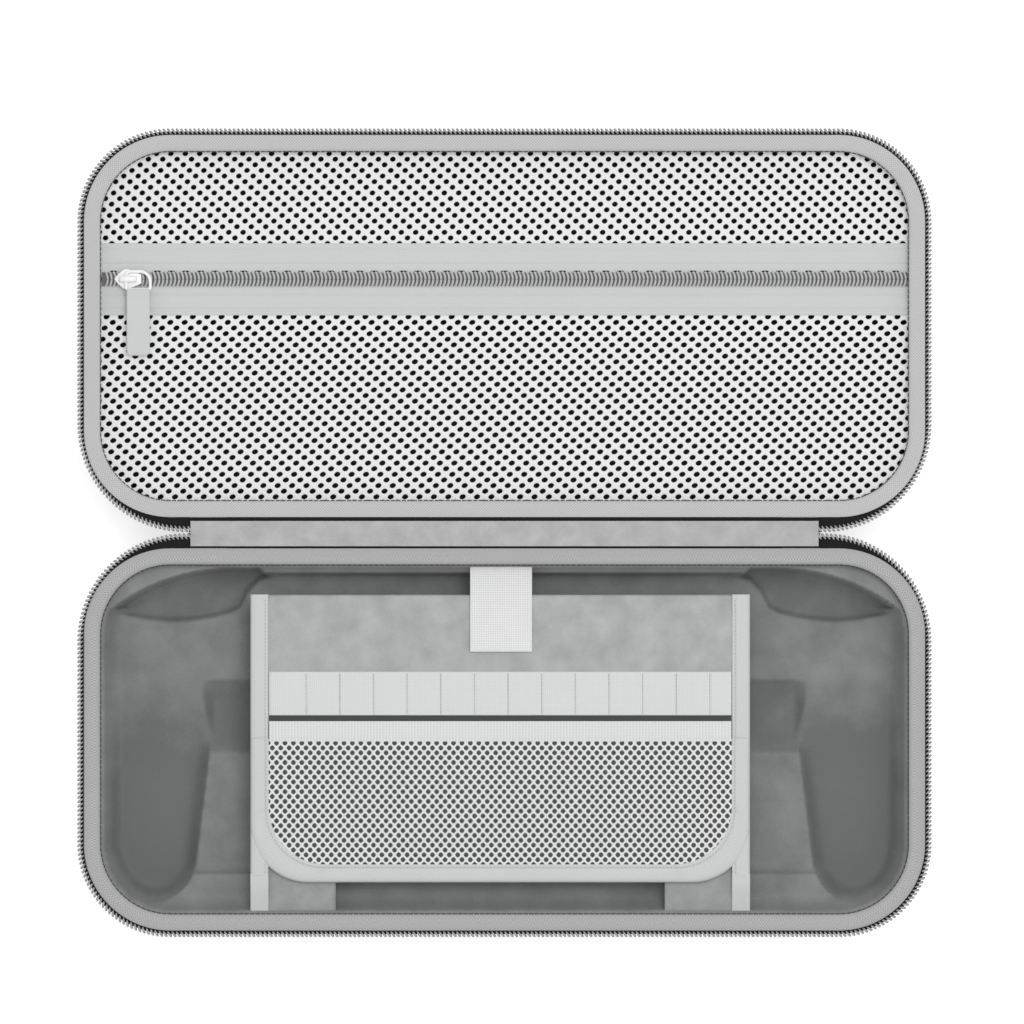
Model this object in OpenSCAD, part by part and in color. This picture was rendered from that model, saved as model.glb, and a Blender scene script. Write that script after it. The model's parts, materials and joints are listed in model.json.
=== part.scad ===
// Hard shell pouch for a handheld games console, lying open and flat.
// The base half lies at -Y and the lid half at +Y, with the fabric spine between them.
// Lengths are millimetres. The origin is on the table under the fold line, X runs along
// the width, and Z is up. Both rims face up, and they meet when the lid turns over.

/* [Case] */
// Width over the rim bands
case_w = 292; // [270:1:340]
// Depth of each half over its rim band, front to back
half_d = 132.7; // [126:0.1:150]
// Height of each half, up to the plane where the halves meet
half_h = 40; // [38:1:50]
// Corner radius over the rim band
corner_r = 30; // [28:1:33]
// Wall of the moulded shell
wall_t = 4.4; // [3.6:0.1:5]
// Radius of the moulded bottom edge
edge_r = 20; // [14:1:22]
// Draft of the shell's wall in degrees
draft_a = 4; // [1:0.5:5]
// Height of the straight wall below the rim
straight_h = 10; // [6:1:12]

/* [Rim and zip] */
// Gap between the two rim bands when the case is shut
meet_gap = 0.3; // [0.2:0.1:0.6]
// How far the rim band stands over the shell's outer face
band_over = 0.4; // [0.2:0.1:0.8]
// Thickness of the rim band
band_t = 0.7; // [0.5:0.1:1]
// How far the rim band hangs down inside the shell
band_drop = 4.85; // [3:0.05:6]
// Thickness of the zip tape
tape_t = 0.6; // [0.4:0.1:0.8]
// Width of zip tape held between the shell and the rim band
tape_held = 3.2; // [2:0.1:4]
// Bare zip tape between the rim band and the teeth
tape_bare = 0.5; // [0.3:0.1:1]
// Width of one row of zip teeth
teeth_w = 1.9; // [1.4:0.1:2.4]
// Height of one row of zip teeth
teeth_h = 2.1; // [1.6:0.1:2.6]
// Radius at which the teeth leave the rim for the spine
flare_r = 37.4; // [35:0.1:40]

/* [Spine] */
// Gap between the rim bands of the two halves
spine_gap = 10.8; // [10:0.1:14]
// Length of the inner spine panel
spine_l = 218; // [200:1:224]
// Bare gap between the spine panel and the lid's rim band
spine_slit = 1.3; // [0.5:0.1:2]
// Thickness of each spine cloth
spine_t = 0.6; // [0.4:0.1:0.7]
// Length of spine panel that covers each slider of the main zip
slider_bay = 12.5; // [12:0.5:16]

/* [Moulded tray] */
// Ledge of the tray, counted in from the rim band's outer edge
ledge_in = 6.4; // [6:0.1:8]
// Height of the console bed over the table
bed_z = 16; // [14:0.5:20]
// Height of the grip wells' floors
well_z = 6.5; // [6:0.5:9]
// Height of the floors of the two shoulder recesses
shoulder_z = 11.5; // [10:0.5:13]
// Height of the finger notches' floors
notch_z = 9.5; // [8:0.5:12]
// Height of the shelf along the front
shelf_z = 22; // [20:0.5:25]
// Width of a grip well
well_w = 32; // [28:1:34]
// Distance of the grip wells' front ends from the tray's front wall
well_back = 2.5; // [1:0.5:6]
// Round between a grip well's floor and its walls
well_fillet = 6; // [3:0.5:8]
// Angle of a grip well's inner side in degrees
well_slant = 7; // [3:0.5:9]
// Radius of the rear wall's two long bows
bow_r = 71; // [66:1:80]
// Distance from the middle to where each bow starts
bow_x = 94; // [88:1:98]
// Slope of the shoulder recess's front side, along the bed
shoulder_slope = 2.2; // [1:0.1:4]
// Distance from the tray's front wall to the front shelf's inner edge
shelf_w = 12; // [8:0.5:16]

/* [Divider flap] */
// Width of the flap over its bindings
flap_w = 173.5; // [160:0.5:180]
// Length of the flap, from its free edge to its fabric hinges
flap_l = 100; // [96:0.5:104]
// Distance of the flap's free edge from the fold line
flap_y = 21.6; // [20:0.1:24]
// Sideways place of the flap
flap_x = -1.5; // [-2:0.1:2]
// Thickness of the flap's padded board
flap_t = 3; // [2:0.1:3.5]
// Depth of the flap's upper face below the meeting plane
flap_sink = 6.8; // [6.6:0.1:9]
// Radius of the flap's two front corners
flap_r = 20; // [12:1:24]
// Width of the tapes that bind the flap and its pocket
bind_w = 6.3; // [5:0.1:8]
// Thickness of those tapes
bind_t = 0.7; // [0.5:0.1:1]
// Width of the card slots' strip
card_w = 15.2; // [12:0.1:18]
// Width of one card slot
slot_w = 11.7; // [10:0.1:12]
// Sideways place of the card slots on the flap
slot_shift = 2.7; // [-3:0.1:3]
// Length of plain cloth between the flap's free edge and the card slots
cloth_l = 26.7; // [24:0.1:30]
// Gap between the card slots and the net pocket's hem
pocket_slit = 2; // [1:0.1:3]
// Width of the pocket's elastic hem
hem_w = 6.4; // [5:0.1:8]
// Width of each fabric hinge of the flap
leg_w = 29.5; // [20:0.5:34]
// Distance of the flap's turning line from the tray's front wall
leg_fold = 0.8; // [0.6:0.1:1.2]

/* [Strap] */
// Width of the hook-and-loop strap
strap_w = 21.5; // [16:0.5:25]
// Distance of the strap's free end from the fold line
strap_end = 41.4; // [36:0.1:46]
// Sideways place of the strap
strap_x = -1.2; // [-2:0.1:2]
// Thickness of the strap
strap_t = 1.3; // [1:0.1:1.4]

/* [Lid pocket] */
// Distance of the pocket zip's middle from the fold line
zip_y = 88.1; // [70:0.1:92]
// Width of the pocket zip over both of its tapes
zip_tape_w = 25; // [20:0.5:32]
// Width of the pocket zip's closed coil
coil_w = 5.2; // [4.4:0.1:6]
// Height of the pocket zip's coil
coil_h = 1.4; // [1.2:0.1:1.8]
// Groove between the two halves of the coil
coil_slit = 0.9; // [0.8:0.1:1.1]
// Thickness of the pocket's mesh
mesh_t = 0.6; // [0.4:0.1:0.8]
// Overlap of mesh and tape where they are sewn together
sewn = 2; // [1:0.1:3]

/* [Zip sliders and pulls] */
// Length of a slider
slider_l = 9.4; // [8:0.1:10]
// Width of a slider
slider_w = 6.4; // [6.2:0.1:7.2]
// Thickness of a slider's plates
plate_t = 0.8; // [0.6:0.1:0.9]
// Height of the hoop on a slider's back
bridge_rise = 1.5; // [1.4:0.1:1.6]
// Distance of the parked pocket slider's middle from the side of the lid's opening
park_in = 9.6; // [9.4:0.1:16]
// Diameter of the pull rings' wire
wire_d = 1.1; // [0.9:0.1:1.2]
// Width of a pull ring, from wire middle to wire middle
ring_w = 8.4; // [7.6:0.1:8.6]
// Height of a pull ring, from wire middle to wire middle
ring_h = 6.2; // [6:0.1:7]
// Width of a pull tab
tab_w = 8; // [6:0.1:8.6]
// Length of a pull tab below its ring
tab_l = 23; // [16:0.5:25]
// Thickness of a pull tab
tab_t = 1.1; // [0.8:0.1:1.2]

/* [Fits] */
// Clearance between fixed pieces with curved walls
fit = 0.1; // [0.05:0.05:0.2]
// Clearance between pieces that move past each other
free = 0.3; // [0.2:0.05:0.4]

/* [Hidden] */
$fn = 64;
over = 1;

// Levels, from the meeting plane down
band_z = half_h - meet_gap / 2;
tape_z = band_z - band_t;
rim_z = tape_z - tape_t;
skirt_z = tape_z - band_drop + band_t;
half_y = (spine_gap + half_d) / 2;

// Insets from the rim band's outer edge
shell_in = band_over;
hollow_in = shell_in + wall_t;
skirt_in = hollow_in + fit;
open_in = skirt_in + band_t;
liner_in = hollow_in + fit;

// Pocket of the lid
mesh_z = skirt_z - tape_t - mesh_t;
ptape_z = mesh_z + mesh_t;
coil_z = ptape_z + tape_t;
zip_half = zip_tape_w / 2;
lining_t = 1.2;

// Flap and strap
flap_z = half_h - flap_sink;
hinge_y = -(spine_gap / 2 + half_d - ledge_in - leg_fold);
hinge_z = flap_z - flap_t / 2;
flap_front = -(flap_y + flap_l);
card_y = -(flap_y + cloth_l);
hem_y = card_y - card_w - pocket_slit;
strap_z = flap_z + free;

// Zip sliders
main_x = spine_l / 2 - slider_bay / 2;
main_w = 8.6;
run = 0.25;
post_t = coil_slit - 2 * run;
bridge_t = 0.6;
bridge_w = 2;
pocket_room = tape_t + coil_h + 2 * run;
pocket_x = open_in + park_in - case_w / 2;
pass_x = -0.6;
main_pivot_z = tape_z - 2 * plate_t - teeth_h - bridge_rise / 2;
pocket_low = ptape_z - run - plate_t;
pocket_pivot_z = pocket_low + 2 * plate_t + pocket_room + bridge_rise / 2;

module rrect(w, d, r) {
    square([w - 2 * r, d], center = true);
    square([w, d - 2 * r], center = true);
    for (sx = [-1, 1], sy = [-1, 1])
        translate([sx * (w / 2 - r), sy * (d / 2 - r)]) circle(r);
}

// Plan of one half, centred on itself, set in from the rim band's outer edge
module plan(inset) {
    rrect(case_w - 2 * inset, half_d - 2 * inset, corner_r - inset);
}

// Section of a moulded wall: a flat bottom, a round edge, a drafted wall and a straight rim
module wall_section(inset, low, high) {
    r = corner_r - inset;
    round_r = edge_r - inset;
    knee = half_h - straight_h;
    mid_x = r - (knee - low - round_r) * tan(draft_a) - round_r / cos(draft_a);
    touch = [mid_x + round_r * cos(draft_a), low + round_r - round_r * sin(draft_a)];
    polygon([[0, low], [mid_x, low], touch, [r, knee], [r, high], [0, high]]);
    intersection() {
        translate([mid_x, low + round_r]) circle(round_r);
        translate([0, low]) square([r, round_r]);
    }
}

// Solid form of one half: the wall section swept round the plan
module tub(inset, low, high) {
    core_w = case_w - 2 * corner_r;
    core_d = half_d - 2 * corner_r;
    translate([-core_w / 2, -core_d / 2, low]) cube([core_w, core_d, high - low]);
    for (turn = [0, 180]) rotate([0, 0, turn]) {
        translate([core_w / 2, core_d / 2, 0]) rotate([90, 0, 0])
            linear_extrude(core_d) wall_section(inset, low, high);
        translate([-core_w / 2, core_d / 2, 0]) rotate([90, 0, 90])
            linear_extrude(core_w) wall_section(inset, low, high);
        translate([core_w / 2, core_d / 2, 0])
            rotate_extrude(angle = 90) wall_section(inset, low, high);
        translate([-core_w / 2, core_d / 2, 0]) rotate([0, 0, 90])
            rotate_extrude(angle = 90) wall_section(inset, low, high);
    }
}

module at_base() { translate([0, -half_y, 0]) children(); }
module at_lid() { translate([0, half_y, 0]) mirror([0, 1, 0]) children(); }

module shell() {
    difference() {
        tub(shell_in, 0, rim_z);
        tub(hollow_in, wall_t, rim_z + over);
    }
}

module rim_band() {
    translate([0, 0, tape_z]) linear_extrude(band_t) difference() {
        plan(0);
        plan(open_in);
    }
    translate([0, 0, skirt_z]) linear_extrude(tape_z - skirt_z) difference() {
        plan(skirt_in);
        plan(open_in);
    }
}

// Plan inside the row of teeth, which flares away from the rim towards the spine.
// It is centred on the half, and the spine lies at +Y.
module zip_plan(out) {
    edge_x = case_w / 2 + tape_bare + out;
    front_y = half_d / 2 + tape_bare + out;
    rear_y = half_d / 2 + spine_gap / 2 - free / 2 - teeth_w + out;
    front_r = corner_r + tape_bare + out;
    rear_r = flare_r - teeth_w + out;
    translate([-edge_x, front_r - front_y])
        square([2 * edge_x, front_y + rear_y - front_r - rear_r]);
    translate([front_r - edge_x, -front_y]) square([2 * (edge_x - front_r), front_r + over]);
    translate([rear_r - edge_x, rear_y - rear_r - over])
        square([2 * (edge_x - rear_r), rear_r + over]);
    for (sx = [-1, 1]) {
        translate([sx * (edge_x - front_r), front_r - front_y]) circle(front_r);
        translate([sx * (edge_x - rear_r), rear_y - rear_r]) circle(rear_r);
    }
}

module rear_strip(w, from_y) {
    translate([-w / 2, from_y]) square([w, half_d]);
}

module zip_teeth() {
    translate([0, 0, band_z - teeth_h]) linear_extrude(teeth_h) difference() {
        zip_plan(teeth_w);
        zip_plan(0);
        rear_strip(spine_l + 2 * free, 0);
    }
}

module zip_tape() {
    translate([0, 0, rim_z]) linear_extrude(tape_t) difference() {
        zip_plan(0);
        plan(tape_held);
        rear_strip(spine_l - 2 * slider_bay, 0);
        rear_strip(spine_l + 2 * free, half_d / 2 + spine_gap / 2 - main_w / 2 - free);
    }
}

// Plan of the tray's hollow: straight sides, and two long bows along the rear wall
module basin_plan() {
    rear = half_d / 2 - ledge_in;
    intersection() {
        plan(ledge_in);
        union() {
            for (sx = [-1, 1]) translate([sx * bow_x, rear - bow_r]) circle(bow_r);
            translate([-bow_x, -half_d / 2]) square([2 * bow_x, half_d / 2 + rear]);
            translate([-case_w / 2, -half_d / 2]) square([case_w, half_d / 2 + rear - bow_r]);
        }
    }
}

// A grip well lies at -X. Its front end is round, and its floor climbs to the bed.
well_r = well_w / 2;
well_x = case_w / 2 - ledge_in - well_r;
well_y = half_d / 2 - ledge_in - well_back - well_r;
ramp_y = [-10, 20];
trough_l = 92;

module well_section() {
    depth = half_h - well_z;
    translate([well_fillet, 0]) square([well_r - well_fillet, depth]);
    translate([well_fillet, well_fillet]) circle(well_fillet);
    translate([0, well_fillet]) square([well_r, depth - well_fillet]);
}

module trough() {
    translate([0, 0, well_z]) {
        rotate_extrude() translate([well_r, 0]) mirror([1, 0]) well_section();
        rotate([90, 0, 180]) linear_extrude(trough_l) for (side = [0, 1])
            mirror([side, 0]) translate([-well_r, 0]) well_section();
    }
}

module grip_well() {
    difference() {
        translate([-well_x, -well_y, 0]) {
            trough();
            rotate([0, 0, -well_slant]) trough();
        }
        rotate([90, 0, 90]) linear_extrude(case_w, center = true)
            polygon([[ramp_y[0], 0], [ramp_y[0], well_z], [ramp_y[1], bed_z],
                     [half_d, bed_z], [half_d, 0]]);
    }
}

// A shoulder recess lies in the rear corner at -X and has one sloping side
module shoulder_recess() {
    rear = half_d / 2;
    inner_x = flap_w / 2 + 1;
    wall_x = case_w / 2;
    mouth = [[-inner_x, rear], [-inner_x - 5, rear - 20.5], [-inner_x - 26, rear - 26],
             [-wall_x, rear - 23.5], [-wall_x, rear]];
    hull() {
        translate([0, shoulder_slope, shoulder_z]) linear_extrude(bed_z - shoulder_z) polygon(mouth);
        translate([0, 0, bed_z]) linear_extrude(half_h) polygon(mouth);
    }
}

// A finger notch lies at -X beside the flap
notch_x = 105.3;
notch_in = 76;
notch_y = [-5.4, 20.2];
notch_r = 3;

module finger_notch() {
    w = notch_x - notch_in;
    d = notch_y[1] - notch_y[0];
    translate([-(notch_x + notch_in) / 2, (notch_y[0] + notch_y[1]) / 2, notch_z])
        linear_extrude(half_h) rrect(w, d, notch_r);
}

shelf_y = shelf_w + ledge_in - half_d / 2;

module base_shell() { color("#8d8f90") at_base() shell(); }

module moulded_tray() {
    color("#7c7e7d") at_base() difference() {
        tub(liner_in, wall_t + fit, skirt_z);
        translate([0, 0, shelf_z]) linear_extrude(half_h) basin_plan();
        translate([0, 0, bed_z]) linear_extrude(half_h) intersection() {
            basin_plan();
            translate([-case_w / 2, shelf_y]) square([case_w, half_d]);
        }
        for (side = [0, 1]) mirror([side, 0, 0]) {
            grip_well();
            finger_notch();
            intersection() {
                shoulder_recess();
                linear_extrude(half_h) basin_plan();
            }
        }
        translate([strap_x - strap_w / 2 - free, half_d / 2 - ledge_in - over, strap_z - free])
            cube([strap_w + 2 * free, ledge_in + 2 * over, half_h]);
    }
}

module base_rim_band() { color("#acacac") at_base() rim_band(); }
module base_zip_tape() { color("#2b2b2b") at_base() zip_tape(); }
module base_zip_teeth() { color("#3c3c3c") at_base() zip_teeth(); }

// Suede-like panel between the rims
module spine_panel() {
    color("#b1b2b1")
        translate([-spine_l / 2, -spine_gap / 2 + fit, tape_z])
            cube([spine_l, spine_gap - fit - spine_slit, spine_t]);
}

// Outer cloth of the spine, held under both rim bands
module spine_cover() {
    color("#8d8f90")
        translate([fit + slider_bay - spine_l / 2, -spine_gap / 2 - tape_held, rim_z])
            cube([spine_l - 2 * (slider_bay + fit), spine_gap + 2 * tape_held, tape_t]);
}

// Plan of a slider, with its nose at -X
module slider_plan(l, w) {
    nose = 1.2;
    tail = w * 0.8;
    polygon([[-l / 2, -nose / 2], [-l / 2, nose / 2], [-l / 6, w / 2], [l / 5, w / 2],
             [l / 2, tail / 2], [l / 2, -tail / 2], [l / 5, -w / 2], [-l / 6, -w / 2]]);
}

// Hoop along a slider's back, which the pull ring passes under
module bridge(l) {
    foot = l * 0.31;
    slope = 0.7;
    rotate([90, 0, 0]) linear_extrude(bridge_w, center = true) difference() {
        polygon([[-foot, 0], [slope - foot, bridge_rise + bridge_t],
                 [foot - slope, bridge_rise + bridge_t], [foot, 0]]);
        polygon([[bridge_t - foot, 0], [bridge_t - foot + slope, bridge_rise],
                 [foot - slope - bridge_t, bridge_rise], [foot - bridge_t, 0]]);
    }
}

// A slider's first plate starts at z = 0. room is the space between its two plates.
module slider(l, w, room) {
    height = 2 * plate_t + room;
    linear_extrude(plate_t) slider_plan(l, w);
    translate([0, 0, plate_t + room]) linear_extrude(plate_t) slider_plan(l, w);
    translate([plate_t - l / 2, -post_t / 2, 0]) cube([l / 3, post_t, height]);
    translate([0, 0, height]) bridge(l);
}

// Quarter bend of the ring's wire, from +X to +Y about the origin
module wire_bend(r) {
    rotate_extrude(angle = 90) translate([r, 0]) circle(d = wire_d);
}

// Wire from one place to another along X
module wire_x(length) { rotate([0, 90, 0]) cylinder(d = wire_d, h = length); }
module wire_y(length) { rotate([-90, 0, 0]) cylinder(d = wire_d, h = length); }

// Wire ring in the XY plane. Its straight side for the tab runs along X from the origin,
// and the bends at its far corners have their own radii.
module ring(left_r, right_r) {
    low_r = 0.8;
    translate([low_r, 0, 0]) wire_x(ring_w - 2 * low_r);
    translate([low_r, low_r, 0]) rotate([0, 0, 180]) wire_bend(low_r);
    translate([ring_w - low_r, low_r, 0]) rotate([0, 0, 270]) wire_bend(low_r);
    translate([0, low_r, 0]) wire_y(ring_h - low_r - left_r);
    translate([ring_w, low_r, 0]) wire_y(ring_h - low_r - right_r);
    translate([left_r, ring_h - left_r, 0]) rotate([0, 0, 90]) wire_bend(left_r);
    translate([ring_w - right_r, ring_h - right_r, 0]) wire_bend(right_r);
    translate([left_r, ring_h, 0]) wire_x(ring_w - left_r - right_r);
}

// Tab below the ring's straight side, in the XY plane
module tab() {
    end_r = 1.5;
    top_y = -(wire_d / 2 + free);
    translate([ring_w / 2, 0, -tab_t / 2]) linear_extrude(tab_t) {
        translate([-tab_w / 2, end_r - tab_l]) square([tab_w, tab_l + top_y - end_r]);
        translate([end_r - tab_w / 2, -tab_l]) square([tab_w - 2 * end_r, tab_l + top_y]);
        for (sx = [-1, 1]) translate([sx * (tab_w / 2 - end_r), end_r - tab_l]) circle(end_r);
    }
}

// Sliders of the main zip, upside down under the ends of the spine panel, noses outward
module main_slider(side) {
    translate([side * main_x, 0, tape_z]) rotate([180, 0, side > 0 ? 180 : 0])
        slider(slider_l, main_w, teeth_h);
}

// Pull of a main zip slider, hanging straight down
module at_main_pull(side) {
    translate([side * main_x, -ring_w / 2, main_pivot_z - ring_h]) rotate([90, 0, 90]) children();
}

// Pull of the pocket's slider, turned down flat beside it
module at_pocket_pull() {
    at_lid_zip() translate([pass_x, -0.58 * ring_h, pocket_pivot_z]) children();
}

module at_lid_zip() { translate([pocket_x, zip_y, 0]) children(); }

// Divider flap, from its free edge towards -Y
module at_flap() { translate([flap_x, -flap_y, 0]) children(); }

module flap_box(x0, x1, y0, y1, z0, z1) {
    translate([x0, y0, z0]) cube([x1 - x0, y1 - y0, z1 - z0]);
}

board_x = flap_w / 2 - bind_t;
inner_x = flap_w / 2 - bind_w;

module flap_panel() {
    color("#b0b1b0") at_flap()
        flap_box(-board_x, board_x, -flap_l, 0, flap_z - flap_t, flap_z);
}

// Tape folded round one side of the flap
module side_binding(side) {
    color("#cdcfce") at_flap() mirror([side > 0 ? 1 : 0, 0, 0]) difference() {
        flap_box(-flap_w / 2, -inner_x, -flap_l, 0, flap_z - flap_t - bind_t, flap_z + bind_t);
        flap_box(-board_x, 0, -flap_l - over, over, flap_z - flap_t, flap_z);
    }
}

module flap_binding_left() { side_binding(-1); }
module flap_binding_right() { side_binding(1); }

// Webbing sewn down in lines, so that it makes a row of card slots
slots = 12;
slot_groove = 0.4;
card_t = 1;

module card_strip() {
    color("#dbdddc") difference() {
        at_flap() flap_box(-inner_x, inner_x, card_y + flap_y - card_w, card_y + flap_y,
                           flap_z, flap_z + card_t);
        for (i = [0 : slots]) at_flap()
            translate([slot_shift + (i - slots / 2) * slot_w - slot_groove / 2, card_y + flap_y - card_w - over,
                       flap_z + card_t - slot_groove])
                cube([slot_groove, card_w + 2 * over, card_t]);
    }
}

// Plan of the net pocket on the flap, set in from its binding's outer edge
module pocket_plan(inset) {
    w = flap_w - 2 * inset;
    rear = hem_y + flap_y;
    r = flap_r - inset;
    front = inset - flap_l;
    translate([-w / 2, front + r]) square([w, rear - front - r]);
    translate([r - w / 2, front]) square([w - 2 * r, r + over]);
    for (sx = [-1, 1]) translate([sx * (w / 2 - r), front + r]) circle(r);
}

net_top = flap_z + bind_t;

module pocket_net() {
    color("#d9dbda") at_flap() translate([0, 0, flap_z]) linear_extrude(bind_t) intersection() {
        pocket_plan(1);
        translate([-inner_x, -flap_l]) square([2 * inner_x, hem_y - hem_w + flap_y + flap_l]);
    }
}

module pocket_hem() {
    color("#dcdedd") at_flap()
        flap_box(-inner_x, inner_x, hem_y + flap_y - hem_w, hem_y + flap_y, flap_z, net_top);
}

module pocket_binding() {
    color("#cbcdcc") at_flap() translate([0, 0, net_top]) linear_extrude(bind_t) difference() {
        pocket_plan(0);
        translate([0, over]) pocket_plan(bind_w);
        translate([bind_w - flap_w / 2, hem_y + flap_y - over])
            square([flap_w - 2 * bind_w, 2 * over]);
    }
}

// Cloth hinge that joins the flap to the case's front wall
leg_t = 1.2;

module flap_leg(side) {
    wall_y = flap_y + hinge_y - leg_fold + free;
    color("#989a99") at_flap() mirror([side > 0 ? 1 : 0, 0, 0])
        flap_box(-flap_w / 2, leg_w - flap_w / 2, wall_y, -flap_l, flap_z - leg_t, flap_z);
}

module flap_hinge_left() { flap_leg(-1); }
module flap_hinge_right() { flap_leg(1); }

// Webbing strap from the rear wall over the flap's free edge
module strap() {
    root_y = -(spine_gap / 2 + hollow_in + fit);
    color("#e5e6e5") translate([strap_x - strap_w / 2, -strap_end, strap_z])
        cube([strap_w, root_y + strap_end, strap_t]);
}

module lid_shell() { color("#8d8f90") at_lid() shell(); }

module lid_lining() {
    color("#3a3a3a") at_lid() difference() {
        tub(liner_in, wall_t + fit, mesh_z);
        tub(liner_in + lining_t, wall_t + lining_t, mesh_z + over);
    }
}

module lid_rim_band() { color("#c1c1c1") at_lid() rim_band(); }
module lid_zip_tape() { color("#2b2b2b") at_lid() zip_tape(); }
module lid_zip_teeth() { color("#3c3c3c") at_lid() zip_teeth(); }

// Part of the lid's plan in a strip between two distances from the fold line
module lid_strip(inset, y0, y1) {
    intersection() {
        translate([0, half_y]) plan(inset);
        translate([-case_w / 2, y0]) square([case_w, y1 - y0]);
    }
}

module lid_mesh(y0, y1) {
    color("#f2f2f2") translate([0, 0, mesh_z]) linear_extrude(mesh_t) lid_strip(liner_in, y0, y1);
}

module lid_mesh_rear() { lid_mesh(0, zip_y - zip_half + sewn); }
module lid_mesh_front() { lid_mesh(zip_y + zip_half - sewn, 2 * half_y); }

// Tape of the pocket's zip, with a gap between the two tapes for the slider's post
module pocket_tape(y0, y1) {
    color("#ccccce") translate([0, 0, ptape_z]) linear_extrude(tape_t) lid_strip(liner_in, y0, y1);
}

module pocket_tape_rear() { pocket_tape(zip_y - zip_half, zip_y - coil_slit / 2); }
module pocket_tape_front() { pocket_tape(zip_y + coil_slit / 2, zip_y + zip_half); }

module pocket_coil(y0, y1) {
    color("#9b9b9b") translate([0, 0, coil_z]) linear_extrude(coil_h)
        lid_strip(open_in + free, y0, y1);
}

module pocket_coil_rear() { pocket_coil(zip_y - coil_w / 2, zip_y - coil_slit / 2); }
module pocket_coil_front() { pocket_coil(zip_y + coil_slit / 2, zip_y + coil_w / 2); }

module pocket_slider() {
    color("#f4f4f4") at_lid_zip() translate([0, 0, pocket_low])
        slider(slider_l, slider_w, pocket_room);
}

module pocket_ring() { color("#f4f4f4") at_pocket_pull() ring(1.5, 3.5); }
module pocket_tab() { color("#cfd0d0") at_pocket_pull() tab(); }

module main_slider_left() { color("#dcdcdc") main_slider(-1); }
module main_slider_right() { color("#dcdcdc") main_slider(1); }
module main_ring_left() { color("#dcdcdc") at_main_pull(-1) ring(3, 3); }
module main_ring_right() { color("#dcdcdc") at_main_pull(1) ring(3, 3); }
module main_tab_left() { color("#cfd0d0") at_main_pull(-1) tab(); }
module main_tab_right() { color("#cfd0d0") at_main_pull(1) tab(); }

base_shell();
moulded_tray();
base_rim_band();
base_zip_tape();
base_zip_teeth();
spine_panel();
spine_cover();
main_slider_left();
main_slider_right();
main_ring_left();
main_ring_right();
main_tab_left();
main_tab_right();
flap_panel();
flap_binding_left();
flap_binding_right();
card_strip();
pocket_net();
pocket_hem();
pocket_binding();
flap_hinge_left();
flap_hinge_right();
strap();
lid_shell();
lid_lining();
lid_rim_band();
lid_zip_tape();
lid_zip_teeth();
lid_mesh_rear();
lid_mesh_front();
pocket_tape_rear();
pocket_tape_front();
pocket_coil_rear();
pocket_coil_front();
pocket_slider();
pocket_ring();
pocket_tab();
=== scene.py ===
"""Visual model of a hard shell pouch that lies open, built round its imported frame."""

from __future__ import annotations

import json
import logging
import math
from dataclasses import dataclass, field
from enum import Enum
from typing import Callable, Sequence, Union

import bpy
import numpy as np
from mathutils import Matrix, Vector

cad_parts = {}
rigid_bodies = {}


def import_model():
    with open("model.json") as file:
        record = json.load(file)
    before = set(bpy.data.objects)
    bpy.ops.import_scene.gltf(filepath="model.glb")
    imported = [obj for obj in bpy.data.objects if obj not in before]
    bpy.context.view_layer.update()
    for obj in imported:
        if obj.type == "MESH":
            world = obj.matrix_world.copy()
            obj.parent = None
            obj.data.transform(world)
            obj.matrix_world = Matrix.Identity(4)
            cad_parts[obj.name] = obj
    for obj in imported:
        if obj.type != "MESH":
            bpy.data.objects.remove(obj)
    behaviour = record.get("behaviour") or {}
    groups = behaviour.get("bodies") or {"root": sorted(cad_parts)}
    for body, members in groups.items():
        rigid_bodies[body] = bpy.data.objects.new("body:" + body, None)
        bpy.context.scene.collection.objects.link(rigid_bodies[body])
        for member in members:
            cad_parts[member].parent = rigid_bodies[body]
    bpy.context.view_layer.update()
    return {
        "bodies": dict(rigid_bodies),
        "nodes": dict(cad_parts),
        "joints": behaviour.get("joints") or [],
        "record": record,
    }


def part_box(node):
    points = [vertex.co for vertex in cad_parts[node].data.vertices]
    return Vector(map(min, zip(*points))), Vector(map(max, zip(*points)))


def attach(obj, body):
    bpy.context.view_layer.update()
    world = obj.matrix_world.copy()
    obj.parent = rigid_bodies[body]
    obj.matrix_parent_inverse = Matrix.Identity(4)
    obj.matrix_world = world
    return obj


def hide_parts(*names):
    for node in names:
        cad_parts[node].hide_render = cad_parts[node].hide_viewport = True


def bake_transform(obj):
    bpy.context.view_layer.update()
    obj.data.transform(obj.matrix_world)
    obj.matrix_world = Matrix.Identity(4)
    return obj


MM = 0.001
CLOTH_MAP = "Cloth"
SWING = 0.25  # How far a cloth's tones go either side of its own
FIBRE = 0.45  # Size of a single fibre's patch
SHADE_FALL = 10  # Depth over which the painted shade builds up
log = logging.getLogger("pouch")

Operand = Union["Wire", float]
Faces = list[tuple[int, ...]]
Measure = Callable[[np.ndarray, np.ndarray], np.ndarray]


def linear(level: float) -> float:
    """A grey level from 0 to 255 as linear light."""
    c = level / 255
    return c / 12.92 if c <= 0.04045 else ((c + 0.055) / 1.055) ** 2.4


def smooth(t: np.ndarray) -> np.ndarray:
    """A smooth step from 0 to 1."""
    t = np.clip(t, 0, 1)
    return t * t * (3 - 2 * t)


def hollow(t: np.ndarray) -> np.ndarray:
    """A quarter round that falls from 1 at t 0, steeply, to 0 at t 1."""
    t = np.clip(t, 0, 1)
    return 1 - np.sqrt(np.maximum(1 - (1 - t) ** 2, 0))


# Finishes


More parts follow.
